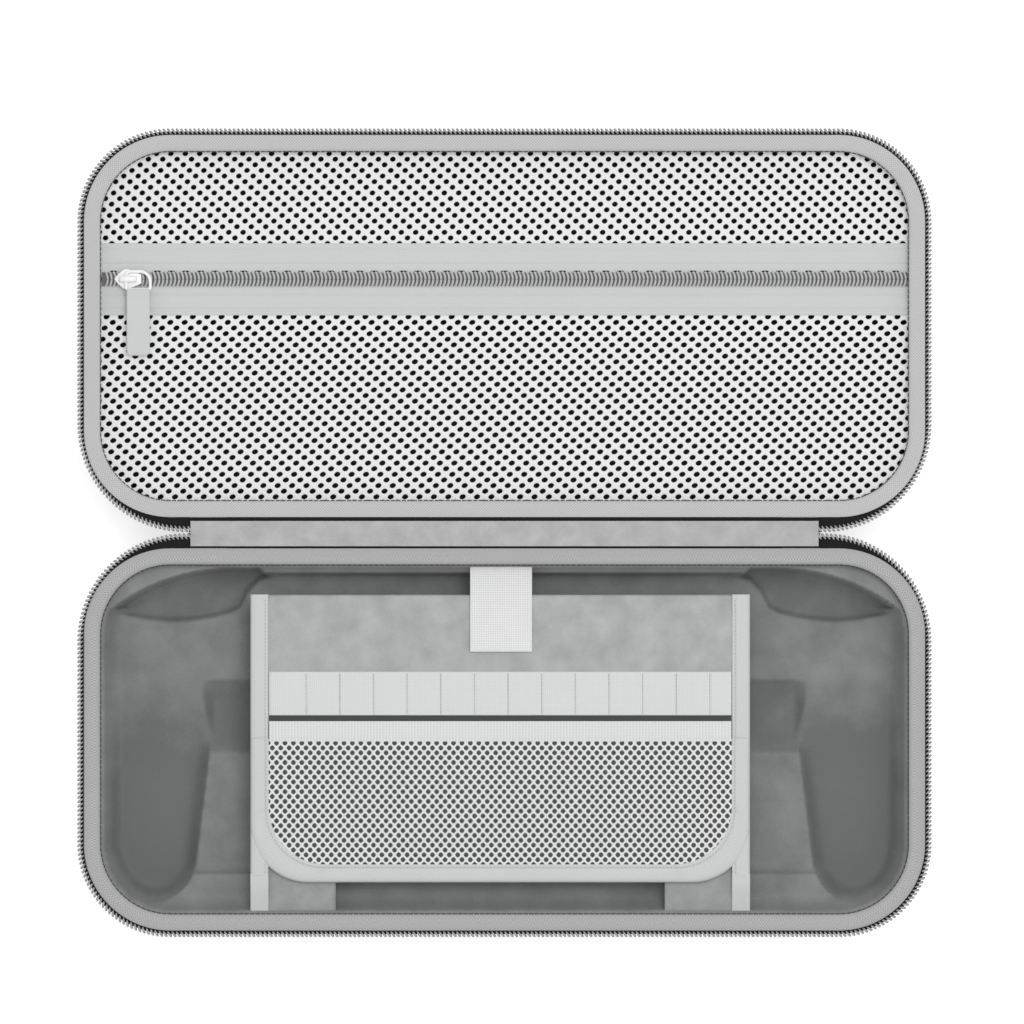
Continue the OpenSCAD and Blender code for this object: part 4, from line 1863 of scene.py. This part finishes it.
    def pocket_mouth(self) -> None:
        """A dark sheet of painted shade in the pocket's mouth, where the opening lies in shadow.
        """
        half = self.width / 2 - self.bind
        xs = spaced(self.middle - half, self.middle + half, 6.0, 0.3)
        ys = spaced(self.hem_y + 2.4, self.hem_y - 1.5, 0.8, 0.2)
        # Painted shade: this dark sheet stands where the mouth shows only shadow.
        piece = pad("pocket_mouth_cloth", xs, ys, self.face + 0.1, self.face - 0.3, 0.1)
        self.shop.settle(piece, Finish.MOUTH, "flap_suede", "flap")

    def pocket_back(self) -> None:
        """A dark sheet of painted shade behind the net, for the shadow inside the pocket."""
        ys = spaced(self.hem_y - 1.0, self.front + 3.0, 2.0, 0.3)
        t = np.linspace(-1, 1, 41)
        reach = self.side_x(ys, 3.0)
        x = self.middle + t[None, :] * reach[:, None]
        plan = np.dstack([x, np.broadcast_to(ys[:, None], x.shape)])
        top = np.full_like(x, self.face + 0.32)
        # Painted shade: dark so that the net's holes show the pocket's shadow.
        piece = slab("net_pocket_back", plan, top, top - 0.4, plan)
        self.shop.settle(piece, Finish.NET_BACK, "flap_suede", "flap")

    def hem(self) -> None:
        """The pocket's ribbed elastic hem."""
        half = self.width / 2 - self.bind - 0.05
        xs = spaced(self.middle - half, self.middle + half, 2.0, 0.3)
        ys = spaced(self.hem_y, self.hem_y - self.hem_w, 0.5, 0.45)
        _, y = np.meshgrid(xs, ys, indexing="ij")
        crease = -0.22 * np.exp(-(((y - ys[-1] - 1.1) / 0.22) ** 2))
        piece = pad("pocket_elastic_hem", xs, ys, self.face + 1.0, self.face + 0.3, 0.3, crease)
        self.shop.settle(piece, Finish.ELASTIC, "elastic", "flap", ["pocket_hem"])

    def net(self) -> None:
        """The net pocket with its open holes."""
        knit = Knit(2.93, 1.69, 1.465, (0.86, 0.93), 0, 1.5, 0.4, (-80.75, -74.85))
        half = self.width / 2 - 2.0
        high = np.array([half + self.middle, self.hem_y - self.hem_w + 0.6])
        low = np.array([self.middle - half, self.front + 2.0])
        middle = (self.middle, self.front + 2.0 + 60)
        clip = Clip(middle, (half, 60), self.round_r - 2.0, (low[1], high[1]))
        piece, area = knit.build("pocket_net_knit", self.face + 0.85, low, high, clip)
        self.shop.settle(piece, Finish.NET, "pocket_net", "flap", ["pocket_net"])

    def pocket_tape(self) -> None:
        """The tape round the pocket's front, in a U, with its stitches."""
        r = self.round_r
        side = self.width / 2
        start = self.front + r
        line, out = [], []
        for y in spaced(self.hem_y - self.hem_w + 1.0, start, 4.0):
            line.append((-side + r, y))
            out.append((-1.0, 0.0))
        for a in np.linspace(180, 270, 19)[1:]:
            line.append((-side + r, start))
            out.append((math.cos(math.radians(a)), math.sin(math.radians(a))))
        for x in spaced(-side + r, side - r, 5.0)[1:]:
            line.append((x, start))
            out.append((0.0, -1.0))
        for a in np.linspace(270, 360, 19)[1:]:
            line.append((side - r, start))
            out.append((math.cos(math.radians(a)), math.sin(math.radians(a))))
        for y in spaced(start, self.hem_y - self.hem_w + 1.0, 4.0)[1:]:
            line.append((side - r, y))
            out.append((1.0, 0.0))
        base = np.array(line) + [self.middle, 0]
        out = np.array(out)
        w = self.bind
        wrap = np.array(
            [
                (r - w, self.face + 0.55),
                (r - w + 0.1, self.face + 0.95),
                (r - w + 0.5, self.face + 1.08),
                (r - w + 1.0, self.face + 1.0),
                (r - w + 1.5, self.face + 1.1),
                (r - 2.2, self.face + 1.22),
                (r - 0.7, self.face + 1.1),
                (r - 0.1, self.face + 0.6),
                (r + 0.05, self.face - 0.3),
                (r + 0.05, self.face - self.board + 0.4),
                (r - 0.6, self.face - self.board - 0.3),
                (r - 0.6, self.face - 0.3),
                (r - 1.0, self.face + 0.5),
            ]
        )
        more = self.inner_r - (r - w)
        bend = np.abs(out).min(1, keepdims=True) > 1e-6
        shift = np.where(bend, -np.sign(out) * more, 0.0)
        inside = base + shift + out * (r - w + np.where(bend, more, 0.0))
        turn = np.flatnonzero(bend[:, 0])
        for i in np.flatnonzero(~bend[:, 0]):
            gap = np.linalg.norm(base[turn] - base[i], axis=1)
            near, spare = turn[gap.argmin()], more - gap.min()
            if spare > 0:
                inside[i] -= np.where(np.abs(out[i]) < 1e-6, np.sign(out[near]) * spare, 0.0)
        outside = base + out * r
        share = (wrap[None, :, :1] - (r - w)) / w
        flat = inside[:, None] * (1 - share) + outside[:, None] * share
        high = np.broadcast_to(wrap[None, :, 1:], (*flat.shape[:2], 1))
        points = np.concatenate([flat, high], 2)
        run = lengths(base + out * (r - 3))
        across = lengths(np.concatenate([wrap, wrap[:1]]))
        chart = np.dstack(np.meshgrid(run, across, indexing="ij"))
        piece = weave_grid(
            "pocket_edge_tape", points[:, ::-1], chart[:, ::-1], wrap_cols=True
        )
        self.shop.settle(
            piece, Finish.FLAP_TAPE, "flap_tape", "flap", ["pocket_binding"]
        )
        sewn = inside + (outside - inside) * (1.0 / w)
        height = np.full((len(sewn), 1), self.face + 1.04)
        row = stitch_row(
            "pocket_edge_stitches", np.concatenate([sewn, height], 1), 1.3, 0.9, 0.24
        )
        self.shop.settle(row, Finish.THREAD, "flap_tape", "flap")

    def leg(self, sign: int) -> None:
        """One cloth hinge of the flap, and the side tape that runs on along it.

        Args:
            sign: -1 for the left side and 1 for the right.
        """
        name = "left" if sign < 0 else "right"
        bend = ("flap", (0, -131.9, 31.7), (0, -129.2, 31.7))
        outer = self.width / 2
        t = np.linspace(0, 1, 25)
        xs = outer - 0.3 - t * (self.leg_w - 0.3)
        s = np.array([0, 0.02, 0.05, 0.1, 0.16, 0.24, 0.34, 0.46, 0.6, 0.75, 0.9, 1.0])
        r = self.round_r
        off = np.clip(xs - (outer - r), 0, r)
        arc = self.front + r - np.sqrt(np.maximum(r * r - off**2, 0))
        reach = np.minimum(arc, self.front + 14) + 1.6
        y = self.wall_y + (reach - self.wall_y)[:, None] * s[None, :]
        x = self.middle + sign * np.broadcast_to(xs[:, None], y.shape)
        top = 31.9 - 0.5 * smooth((y + 131) / 8)
        plan = np.dstack([x, y])
        if sign > 0:
            plan, top = plan[::-1], top[::-1]
        piece = slab(f"flap_hinge_cloth_{name}", plan, top, top - 0.9, plan)
        self.shop.settle(
            piece, Finish.LEG, "leg_cloth", "base", [f"flap_hinge_{name}"], bend
        )
        area = float((reach - self.wall_y).mean() * self.leg_w) * MM * MM
        flat = (self.leg_w * MM, float(reach.max() - self.wall_y) * MM)
        edge = self.middle + sign * (outer + 0.15)
        inner = edge - sign * self.bind
        xs = np.sort(spaced(inner, edge, 1.2, 0.7))
        ys = spaced(self.wall_y, self.front + 3.0, 1.2, 0.5)
        _, y = np.meshgrid(xs, ys, indexing="ij")
        rise = 1.1 * smooth((y + 129) / 8)
        tape = pad(f"flap_hinge_tape_{name}", xs, ys, 32.75, 32.0, 0.35, rise)
        self.shop.settle(tape, Finish.FLAP_TAPE, "flap_tape", "base", (), bend)
        area = min(area, flat[0] * flat[1])

    def build(self) -> None:
        """Builds the flap's pieces."""
        self.cloth_board()
        for sign in (-1, 1):
            self.side_tape(sign)
            self.leg(sign)
        self.card_slots()
        self.pocket_mouth()
        self.pocket_back()
        self.hem()
        self.net()
        self.pocket_tape()


@dataclass
class Strap:
    """The webbing strap over the flap's free edge."""

    shop: Workshop
    middle: float = -1.2
    width: float = 21.5
    root: float = -10.5
    end: float = -41.4
    low: float = 33.5
    thick: float = 1.3

    def build(self) -> None:
        """Builds the strap."""
        xs = spaced(self.middle - self.width / 2, self.middle + self.width / 2, 1.0, 0.5)
        ys = spaced(self.root, self.end, 1.0, 0.5)
        x, y = np.meshgrid(xs, ys, indexing="ij")
        rise = 0.25 * np.cos((y - self.end) / 9.0) * smooth((self.root - y) / 6)
        rise -= 0.12 * ((x - self.middle) / (self.width / 2)) ** 2
        top = self.low + self.thick
        piece = pad("strap_ribbon", xs, ys, top, self.low, 0.35, rise)
        self.shop.settle(piece, Finish.STRAP, "strap_webbing", "base", ["strap"])


# Lid pocket


@dataclass
class LidPocket:
    """The lid's lining, its two meshes and the pocket's zip."""

    shop: Workshop
    zip_y: float = 88.1
    tapes: float = 25
    coil: float = 5.2
    slit: float = 0.9
    pitch: float = 1.38
    mesh_top: float = 34.4
    tape_top: float = 35.0
    lining_top: float = 33.7
    sewn: float = 2.0
    rib: float = 0.42
    core: tuple[float, float] = (35.35, 35.05)

    def lining(self) -> None:
        """The dark lining behind the mesh."""
        half = HalfShell(Side.LID, Finish.LID_TAPE, self.shop)
        inset = CASE.liner_in + 1.1
        profile = np.array([*half.wall(inset, CASE.wall + 1.2), (inset, self.lining_top)])
        piece = sweep_rim("lid_lining_cloth", Side.LID, profile[::-1], False)
        piece = half.close_bottom(piece, (len(profile) - 1,), len(profile))
        self.shop.settle(piece, Finish.LINING, "lining", "lid", ["lid_lining"])

    def meshes(self) -> None:
        """The two meshes, on either side of the zip."""
        inset = CASE.liner_in + 0.1
        half = (CASE.width / 2 - inset, CASE.depth / 2 - inset)
        rear, front = CASE.gap / 2 + inset, CASE.gap / 2 + CASE.depth - inset
        edge = self.tapes / 2 - self.sewn
        for name, lines, start, hole in (
            ("rear", (rear, self.zip_y - edge), (-120.52, 77.04), (1.12, 0.84)),
            ("front", (self.zip_y + edge, front), (-115.79, 77.04), (1.0, 0.86)),
        ):
            knit = Knit(5.0, 1.957, -2.15, hole, 22, 2.2, 0.6, start)
            clip = Clip((0, CASE.half_y), half, CASE.corner - inset, lines)
            low, high = np.array([-half[0], lines[0]]), np.array([half[0], lines[1]])
            piece, area = knit.build(
                f"lid_mesh_knit_{name}", self.mesh_top, low, high, clip
            )
            self.shop.settle(
                piece, Finish.LID_MESH, "lid_mesh", "lid", [f"lid_mesh_{name}"]
            )
            flat = (2 * half[0] * MM, (lines[1] - lines[0]) * MM)

    def zip_tapes(self) -> None:
        """The pocket zip's two tapes, each with two sunk lines."""
        reach = CASE.width / 2 - CASE.liner_in - 0.1
        for name, sign in (("rear", -1), ("front", 1)):
            near, far = sign * self.slit / 2, sign * self.tapes / 2
            ys = np.sort(spaced(self.zip_y + near, self.zip_y + far, 0.45, 0.4))
            xs = spaced(-reach, reach, 6.0, 0.5)
            _, y = np.meshgrid(xs, ys, indexing="ij")
            off = abs(y - self.zip_y)
            sunk = -0.3 * np.exp(-(((off - 5.3) / 0.3) ** 2))
            sunk -= 0.3 * np.exp(-(((off - 10.35) / 0.3) ** 2))
            swell = 0.12 * np.sin(math.pi * np.clip((off - 5.3) / 5.05, 0, 1))
            piece = pad(
                f"pocket_zip_tape_{name}", xs, ys, self.tape_top, 34.42, 0.2, sunk + swell
            )
            self.shop.settle(
                piece, Finish.POCKET_TAPE, "pocket_tape", "lid", [f"pocket_tape_{name}"]
            )

    def coils(self) -> None:
        """The zip's coil: a bowed rib for each turn, in two halves, on a dark core."""
        reach = CASE.width / 2 - CASE.open_in - 0.4
        count = int(2 * reach / self.pitch)
        where = (np.arange(count) - (count - 1) / 2) * self.pitch
        for name, sign in (("rear", -1), ("front", 1)):
            v = np.linspace(0.02, self.coil / 2 - 0.1, 6)
            bow = 0.8 * (1 - (v / 2.6) ** 2)
            high = 35.95 - 0.75 * (v / 2.6) ** 3
            path = np.stack([bow, sign * v, high], 1)
            unit, faces = tube(path, np.full(len(v), self.rib), 6)
            spots = np.stack([where, np.full(count, self.zip_y), np.zeros(count)], 1)
            axes = np.tile(np.eye(3), (count, 1, 1))
            piece = repeat(f"pocket_coil_ribs_{name}", unit, faces, spots, axes)
            self.shop.settle(
                piece, Finish.COIL, "pocket_coil", "lid", [f"pocket_coil_{name}"]
            )
        xs = spaced(-reach, reach, 6.0, 0.3)
        ys = spaced(self.zip_y - 2.4, self.zip_y + 2.4, 0.6, 0.2)
        core = pad("pocket_coil_core", xs, ys, *self.core, 0.1)
        self.shop.settle(core, Finish.COIL_CORE, "pocket_coil", "lid")

    def stitches(self) -> None:
        """The row of stitches beside the coil."""
        reach = CASE.width / 2 - CASE.open_in - 2
        y = self.zip_y + 2.75
        line = np.array([[-reach, y, 35.05], [reach, y, 35.05]])
        row = stitch_row("pocket_zip_stitches", line, 5.0, 2.4, 0.5)
        self.shop.settle(row, Finish.ZIP_TAPE, "pocket_tape", "lid")

    def build(self) -> None:
        """Builds the pocket."""
        self.lining()
        self.meshes()
        self.zip_tapes()
        self.coils()
        self.stitches()


# Sliders


class Pull(Enum):
    """The three sliders: node names, body of the slider and body of its pull."""

    POCKET = ("pocket_slider", "pocket_ring", "pocket_tab", "pocket_slide", "pocket_pull")
    LEFT = ("main_slider_left", "main_ring_left", "main_tab_left", "base", "left_pull")
    RIGHT = ("main_slider_right", "main_ring_right", "main_tab_right", "base", "right_pull")


@dataclass
class Slider:
    """A zip slider with its ring and tab."""

    pull: Pull
    shop: Workshop
    plate: float = 0.8
    tail: float = 1.7
    hoop: float = 1.7
    loop: float = 1.2

    def outline(self, length: float, width: float) -> np.ndarray:
        """The slider's plan, with its nose at -X.

        Args:
            length: Its length.
            width: Its width at the shoulders.

        Returns:
            The outline's points, round its corners too.
        """
        raw = np.array(
            [
                (-length / 2, -0.35),
                (-length * 0.2, -width / 2 + 0.4),
                (-length * 0.02, -width / 2),
                (length / 2 - 0.2, -self.tail),
                (length / 2, -self.tail + 0.3),
            ]
        )
        raw = np.concatenate([raw, raw[::-1] * [1, -1]])
        made = []
        for k, p in enumerate(raw):
            a, b = raw[k - 1], raw[(k + 1) % len(raw)]
            for t in (0.0, 0.5, 1.0):
                start, end = p + (a - p) * 0.22, p + (b - p) * 0.22
                made.append(
                    (1 - t) ** 2 * start + 2 * t * (1 - t) * p + t * t * end
                )
        return np.array(made)

    def plate_mesh(
        self, plan: np.ndarray, low: float, high: float, lip: float
    ) -> tuple[np.ndarray, Faces]:
        """A plate with rounded edges.

        Args:
            plan: Its outline.
            low: Height of its lower face.
            high: Height of its upper face.
            lip: Radius of its edges.

        Returns:
            Its points and faces.
        """
        centre = plan.mean(0)
        size = np.linalg.norm(plan - centre, axis=1, keepdims=True)
        small = centre + (plan - centre) * (1 - lip / size)
        mid = centre + (plan - centre) * (1 - 0.3 * lip / size)
        rings = [
            (small, low),
            (mid, low + 0.3 * lip),
            (plan, low + lip),
            (plan, high - lip),
            (mid, high - 0.3 * lip),
            (small, high),
        ]
        points = np.concatenate(
            [np.concatenate([p, np.full((len(p), 1), z)], 1) for p, z in rings]
        )
        n = len(plan)
        quads = grid_faces(len(rings), n, False, True)
        numbers = quads[:, :, 0] * n + quads[:, :, 1] % n
        faces: Faces = [tuple(reversed(f)) for f in numbers.tolist()]
        last = (len(rings) - 1) * n
        faces += [tuple(reversed(range(n))), tuple(last + k for k in range(n))]
        return points, faces

    def body(self, low: Vector, high: Vector, up: int, nose: int) -> bpy.types.Object:
        """The slider: two plates, a post and the hoop on its back.

        Args:
            low: Lowest corner of its box.
            high: Highest corner of its box.
            up: 1 where its back faces up and -1 where it faces down.
            nose: 1 where its nose is at -X and -1 where it is at +X.

        Returns:
            The new object.
        """
        lo, hi = np.array(low) / MM, np.array(high) / MM
        length, width = hi[0] - lo[0], hi[1] - lo[1]
        height = hi[2] - lo[2]
        plan = self.outline(length, width + 0.9)
        back = height - 2.1
        stack = [
            self.plate_mesh(plan, 0.0, self.plate, 0.25),
            self.plate_mesh(plan, back - self.plate, back, 0.3),
            self.plate_mesh(plan * [0.3, 0.1] - [length * 0.25, 0], 0.4, back - 0.4, 0.05),
        ]
        t = np.linspace(0, math.pi, 13)
        arch = np.stack(
            [-length * 0.31 * np.cos(t), np.zeros(13), back - 0.2 + self.hoop * np.sin(t) ** 0.6],
            1,
        )
        bar, faces = tube(arch, np.full(13, 0.42), 8)
        bar[:, 1] *= 2.6
        stack.append((bar, faces))
        points, every = [], []
        count = 0
        for p, f in stack:
            points.append(p)
            every += [tuple(i + count for i in face) for face in f]
            count += len(p)
        flat = np.concatenate(points)
        flat[:, 0] *= nose
        flat[:, 2] = flat[:, 2] if up > 0 else height - flat[:, 2]
        if nose * up < 0:
            every = [tuple(reversed(f)) for f in every]
        flat += [(lo[0] + hi[0]) / 2, (lo[1] + hi[1]) / 2, lo[2]]
        return make_piece(f"{self.pull.value[0]}_body", flat, every)

    def tab(self, node: str) -> bpy.types.Object:
        """The tab: folded tape, rounded at its end and a little bowed.

        Args:
            node: The node of the frame that it stands for.

        Returns:
            The new object.
        """
        low, high = (np.array(v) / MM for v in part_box(node))
        thin = int(np.argmin(high - low))
        long = 2 if self.pull is not Pull.POCKET else 1
        wide = 3 - thin - long
        half = (high[wide] - low[wide]) / 2
        high[long] += self.loop
        run = spaced(low[long], high[long], 1.0, 1.6)
        t = np.concatenate([[-1, -0.97, -0.9, -0.8], np.linspace(-0.6, 0.6, 7)])
        t = np.concatenate([t, [0.8, 0.9, 0.97, 1]])
        end = np.clip((run - low[long]) / 1.6, 0, 1)
        reach = half - 1.6 * (1 - np.sqrt(1 - (1 - end) ** 2))
        across = t[None, :] * reach[:, None]
        along = np.broadcast_to(run[:, None], across.shape)
        inset = np.minimum(reach[:, None] * (1 - abs(t))[None, :], along - low[long])
        inset = np.minimum(inset, high[long] - along)
        back = high[long] - along
        full = (high[thin] - low[thin]) / 2 + 0.45 * np.exp(-(((back - 1.4) / 1.3) ** 2))
        drop = 0.35 * hollow(inset / 0.35)
        share = (high[long] - along) / (high[long] - low[long])
        droop = -0.9 * share**2 if self.pull is Pull.POCKET else 0.3 * np.sin(3 * share)
        upper = slab(
            f"{node}_tape",
            np.dstack([across, along]),
            full - drop + droop,
            drop - full + droop,
            np.dstack([across, along]),
        )
        mesh = upper.data
        co = np.array([v.co for v in mesh.vertices]) / MM
        made = np.empty_like(co)
        made[:, wide] = co[:, 0] + (low[wide] + high[wide]) / 2
        made[:, long] = co[:, 1]
        made[:, thin] = co[:, 2] + (low[thin] + high[thin]) / 2
        mesh.vertices.foreach_set("co", (made * MM).ravel())
        mesh.update()
        return upper

    def build(self) -> None:
        """Builds the slider and its pull."""
        slider, ring, tab, body, swing = self.pull.value
        low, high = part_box(slider)
        up = 1 if self.pull is Pull.POCKET else -1
        nose = -1 if self.pull is Pull.RIGHT else 1
        made = self.body(low, high, up, nose)
        self.shop.settle(made, Finish.ENAMEL, "slider_metal", body, [slider])
        self.shop.dress(ring, Finish.ENAMEL)
        piece = self.tab(tab)
        self.shop.settle(piece, Finish.PULL_TAPE, "pull_tape", swing, [tab])


# Stage


@dataclass
class Studio:
    """The floor, the light and the camera."""

    pixel: float = 0.347
    centre: tuple[float, float] = (2.6, 7.2)
    lens: float = 300
    sensor: float = 36
    ambient: float = 0.62
    lamp_power: float = 13
    lamp_size: float = 0.9
    lamp_place: tuple[float, float, float] = (0.25, 0.3, 1.8)
    floor_grey: float = 0.8
    floor_glow: float = 0.6
    pixels: int = 1024

    def floor(self) -> None:
        """A plain pale floor that keeps the pouch's shadow."""
        reach = 6.0
        mesh = bpy.data.meshes.new("floor")
        square = [(-reach, -reach, 0), (reach, -reach, 0), (reach, reach, 0), (-reach, reach, 0)]
        mesh.from_pydata(square, [], [(0, 1, 2, 3)])
        floor = bpy.data.objects.new("floor", mesh)
        bpy.context.scene.collection.objects.link(floor)
        paint = Paint("floor_paper")
        paint.fix(Roughness=1.0, Specular_IOR_Level=0.0)
        paint.feed(paint.shader.inputs["Base Color"], (*[self.floor_grey] * 3, 1.0))
        glow = paint.choose(paint.seen(), [0.0] * 3, [self.floor_glow] * 3)
        paint.feed(paint.shader.inputs["Emission Color"], glow)
        paint.fix(Emission_Strength=1.0)
        mesh.materials.append(paint.material)

    def light(self) -> None:
        """Soft light from all round, and one large lamp above."""
        world = bpy.data.worlds.new("studio")
        bpy.context.scene.world = world
        world.use_nodes = True
        tree = Tree(world.node_tree)
        colour = tree.choose(tree.seen(), [self.ambient] * 3, [1.0] * 3)
        sky = tree.node("ShaderNodeBackground", {}, {"Color": colour})
        tree.node("ShaderNodeOutputWorld", {}, {"Surface": sky.outputs[0]})
        lamp = bpy.data.lights.new("soft_lamp", "AREA")
        lamp.shape = "SQUARE"
        lamp.size = self.lamp_size
        lamp.energy = self.lamp_power
        holder = bpy.data.objects.new("soft_lamp", lamp)
        holder.location = self.lamp_place
        aim = -Vector(holder.location)
        holder.rotation_euler = aim.to_track_quat("-Z", "Y").to_euler()
        bpy.context.scene.collection.objects.link(holder)

    def camera(self) -> None:
        """A long lens straight above, so that the view is nearly without perspective."""
        data = bpy.data.cameras.new("camera")
        data.lens = self.lens
        data.sensor_width = self.sensor
        view = self.pixels * self.pixel * MM
        distance = view / 2 / math.tan(math.atan(self.sensor / 2 / self.lens))
        camera = bpy.data.objects.new("camera", data)
        x, y = (c * MM for c in self.centre)
        camera.location = (x, y, CASE.height * MM + distance)
        data.clip_start, data.clip_end = 0.1, 60
        bpy.context.scene.collection.objects.link(camera)
        bpy.context.scene.camera = camera

    def build(self) -> None:
        """Builds the stage."""
        bpy.context.scene.view_settings.view_transform = "Standard"
        self.camera()
        self.light()
        self.floor()


# Whole


def corners(box: tuple[Vector, Vector]) -> list[list[float]]:
    """A box's two corners as plain lists."""
    return [[float(c) for c in corner] for corner in box]


def main() -> None:
    """Builds the pouch round its frame."""
    logging.basicConfig(level=logging.INFO, format="%(name)s: %(message)s")
    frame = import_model()
    shop = Workshop(frame)
    Studio().build()
    for side, band in ((Side.BASE, Finish.BASE_TAPE), (Side.LID, Finish.LID_TAPE)):
        HalfShell(side, band, shop).build()
        MainZip(side, shop).build()
    Spine(shop).build()
    Tray(shop).build()
    Flap(shop).build()
    Strap(shop).build()
    LidPocket(shop).build()
    for pull in Pull:
        Slider(pull, shop).build()
    log.info("%d pieces made", shop.count)


if __name__ == "__main__":
    main()
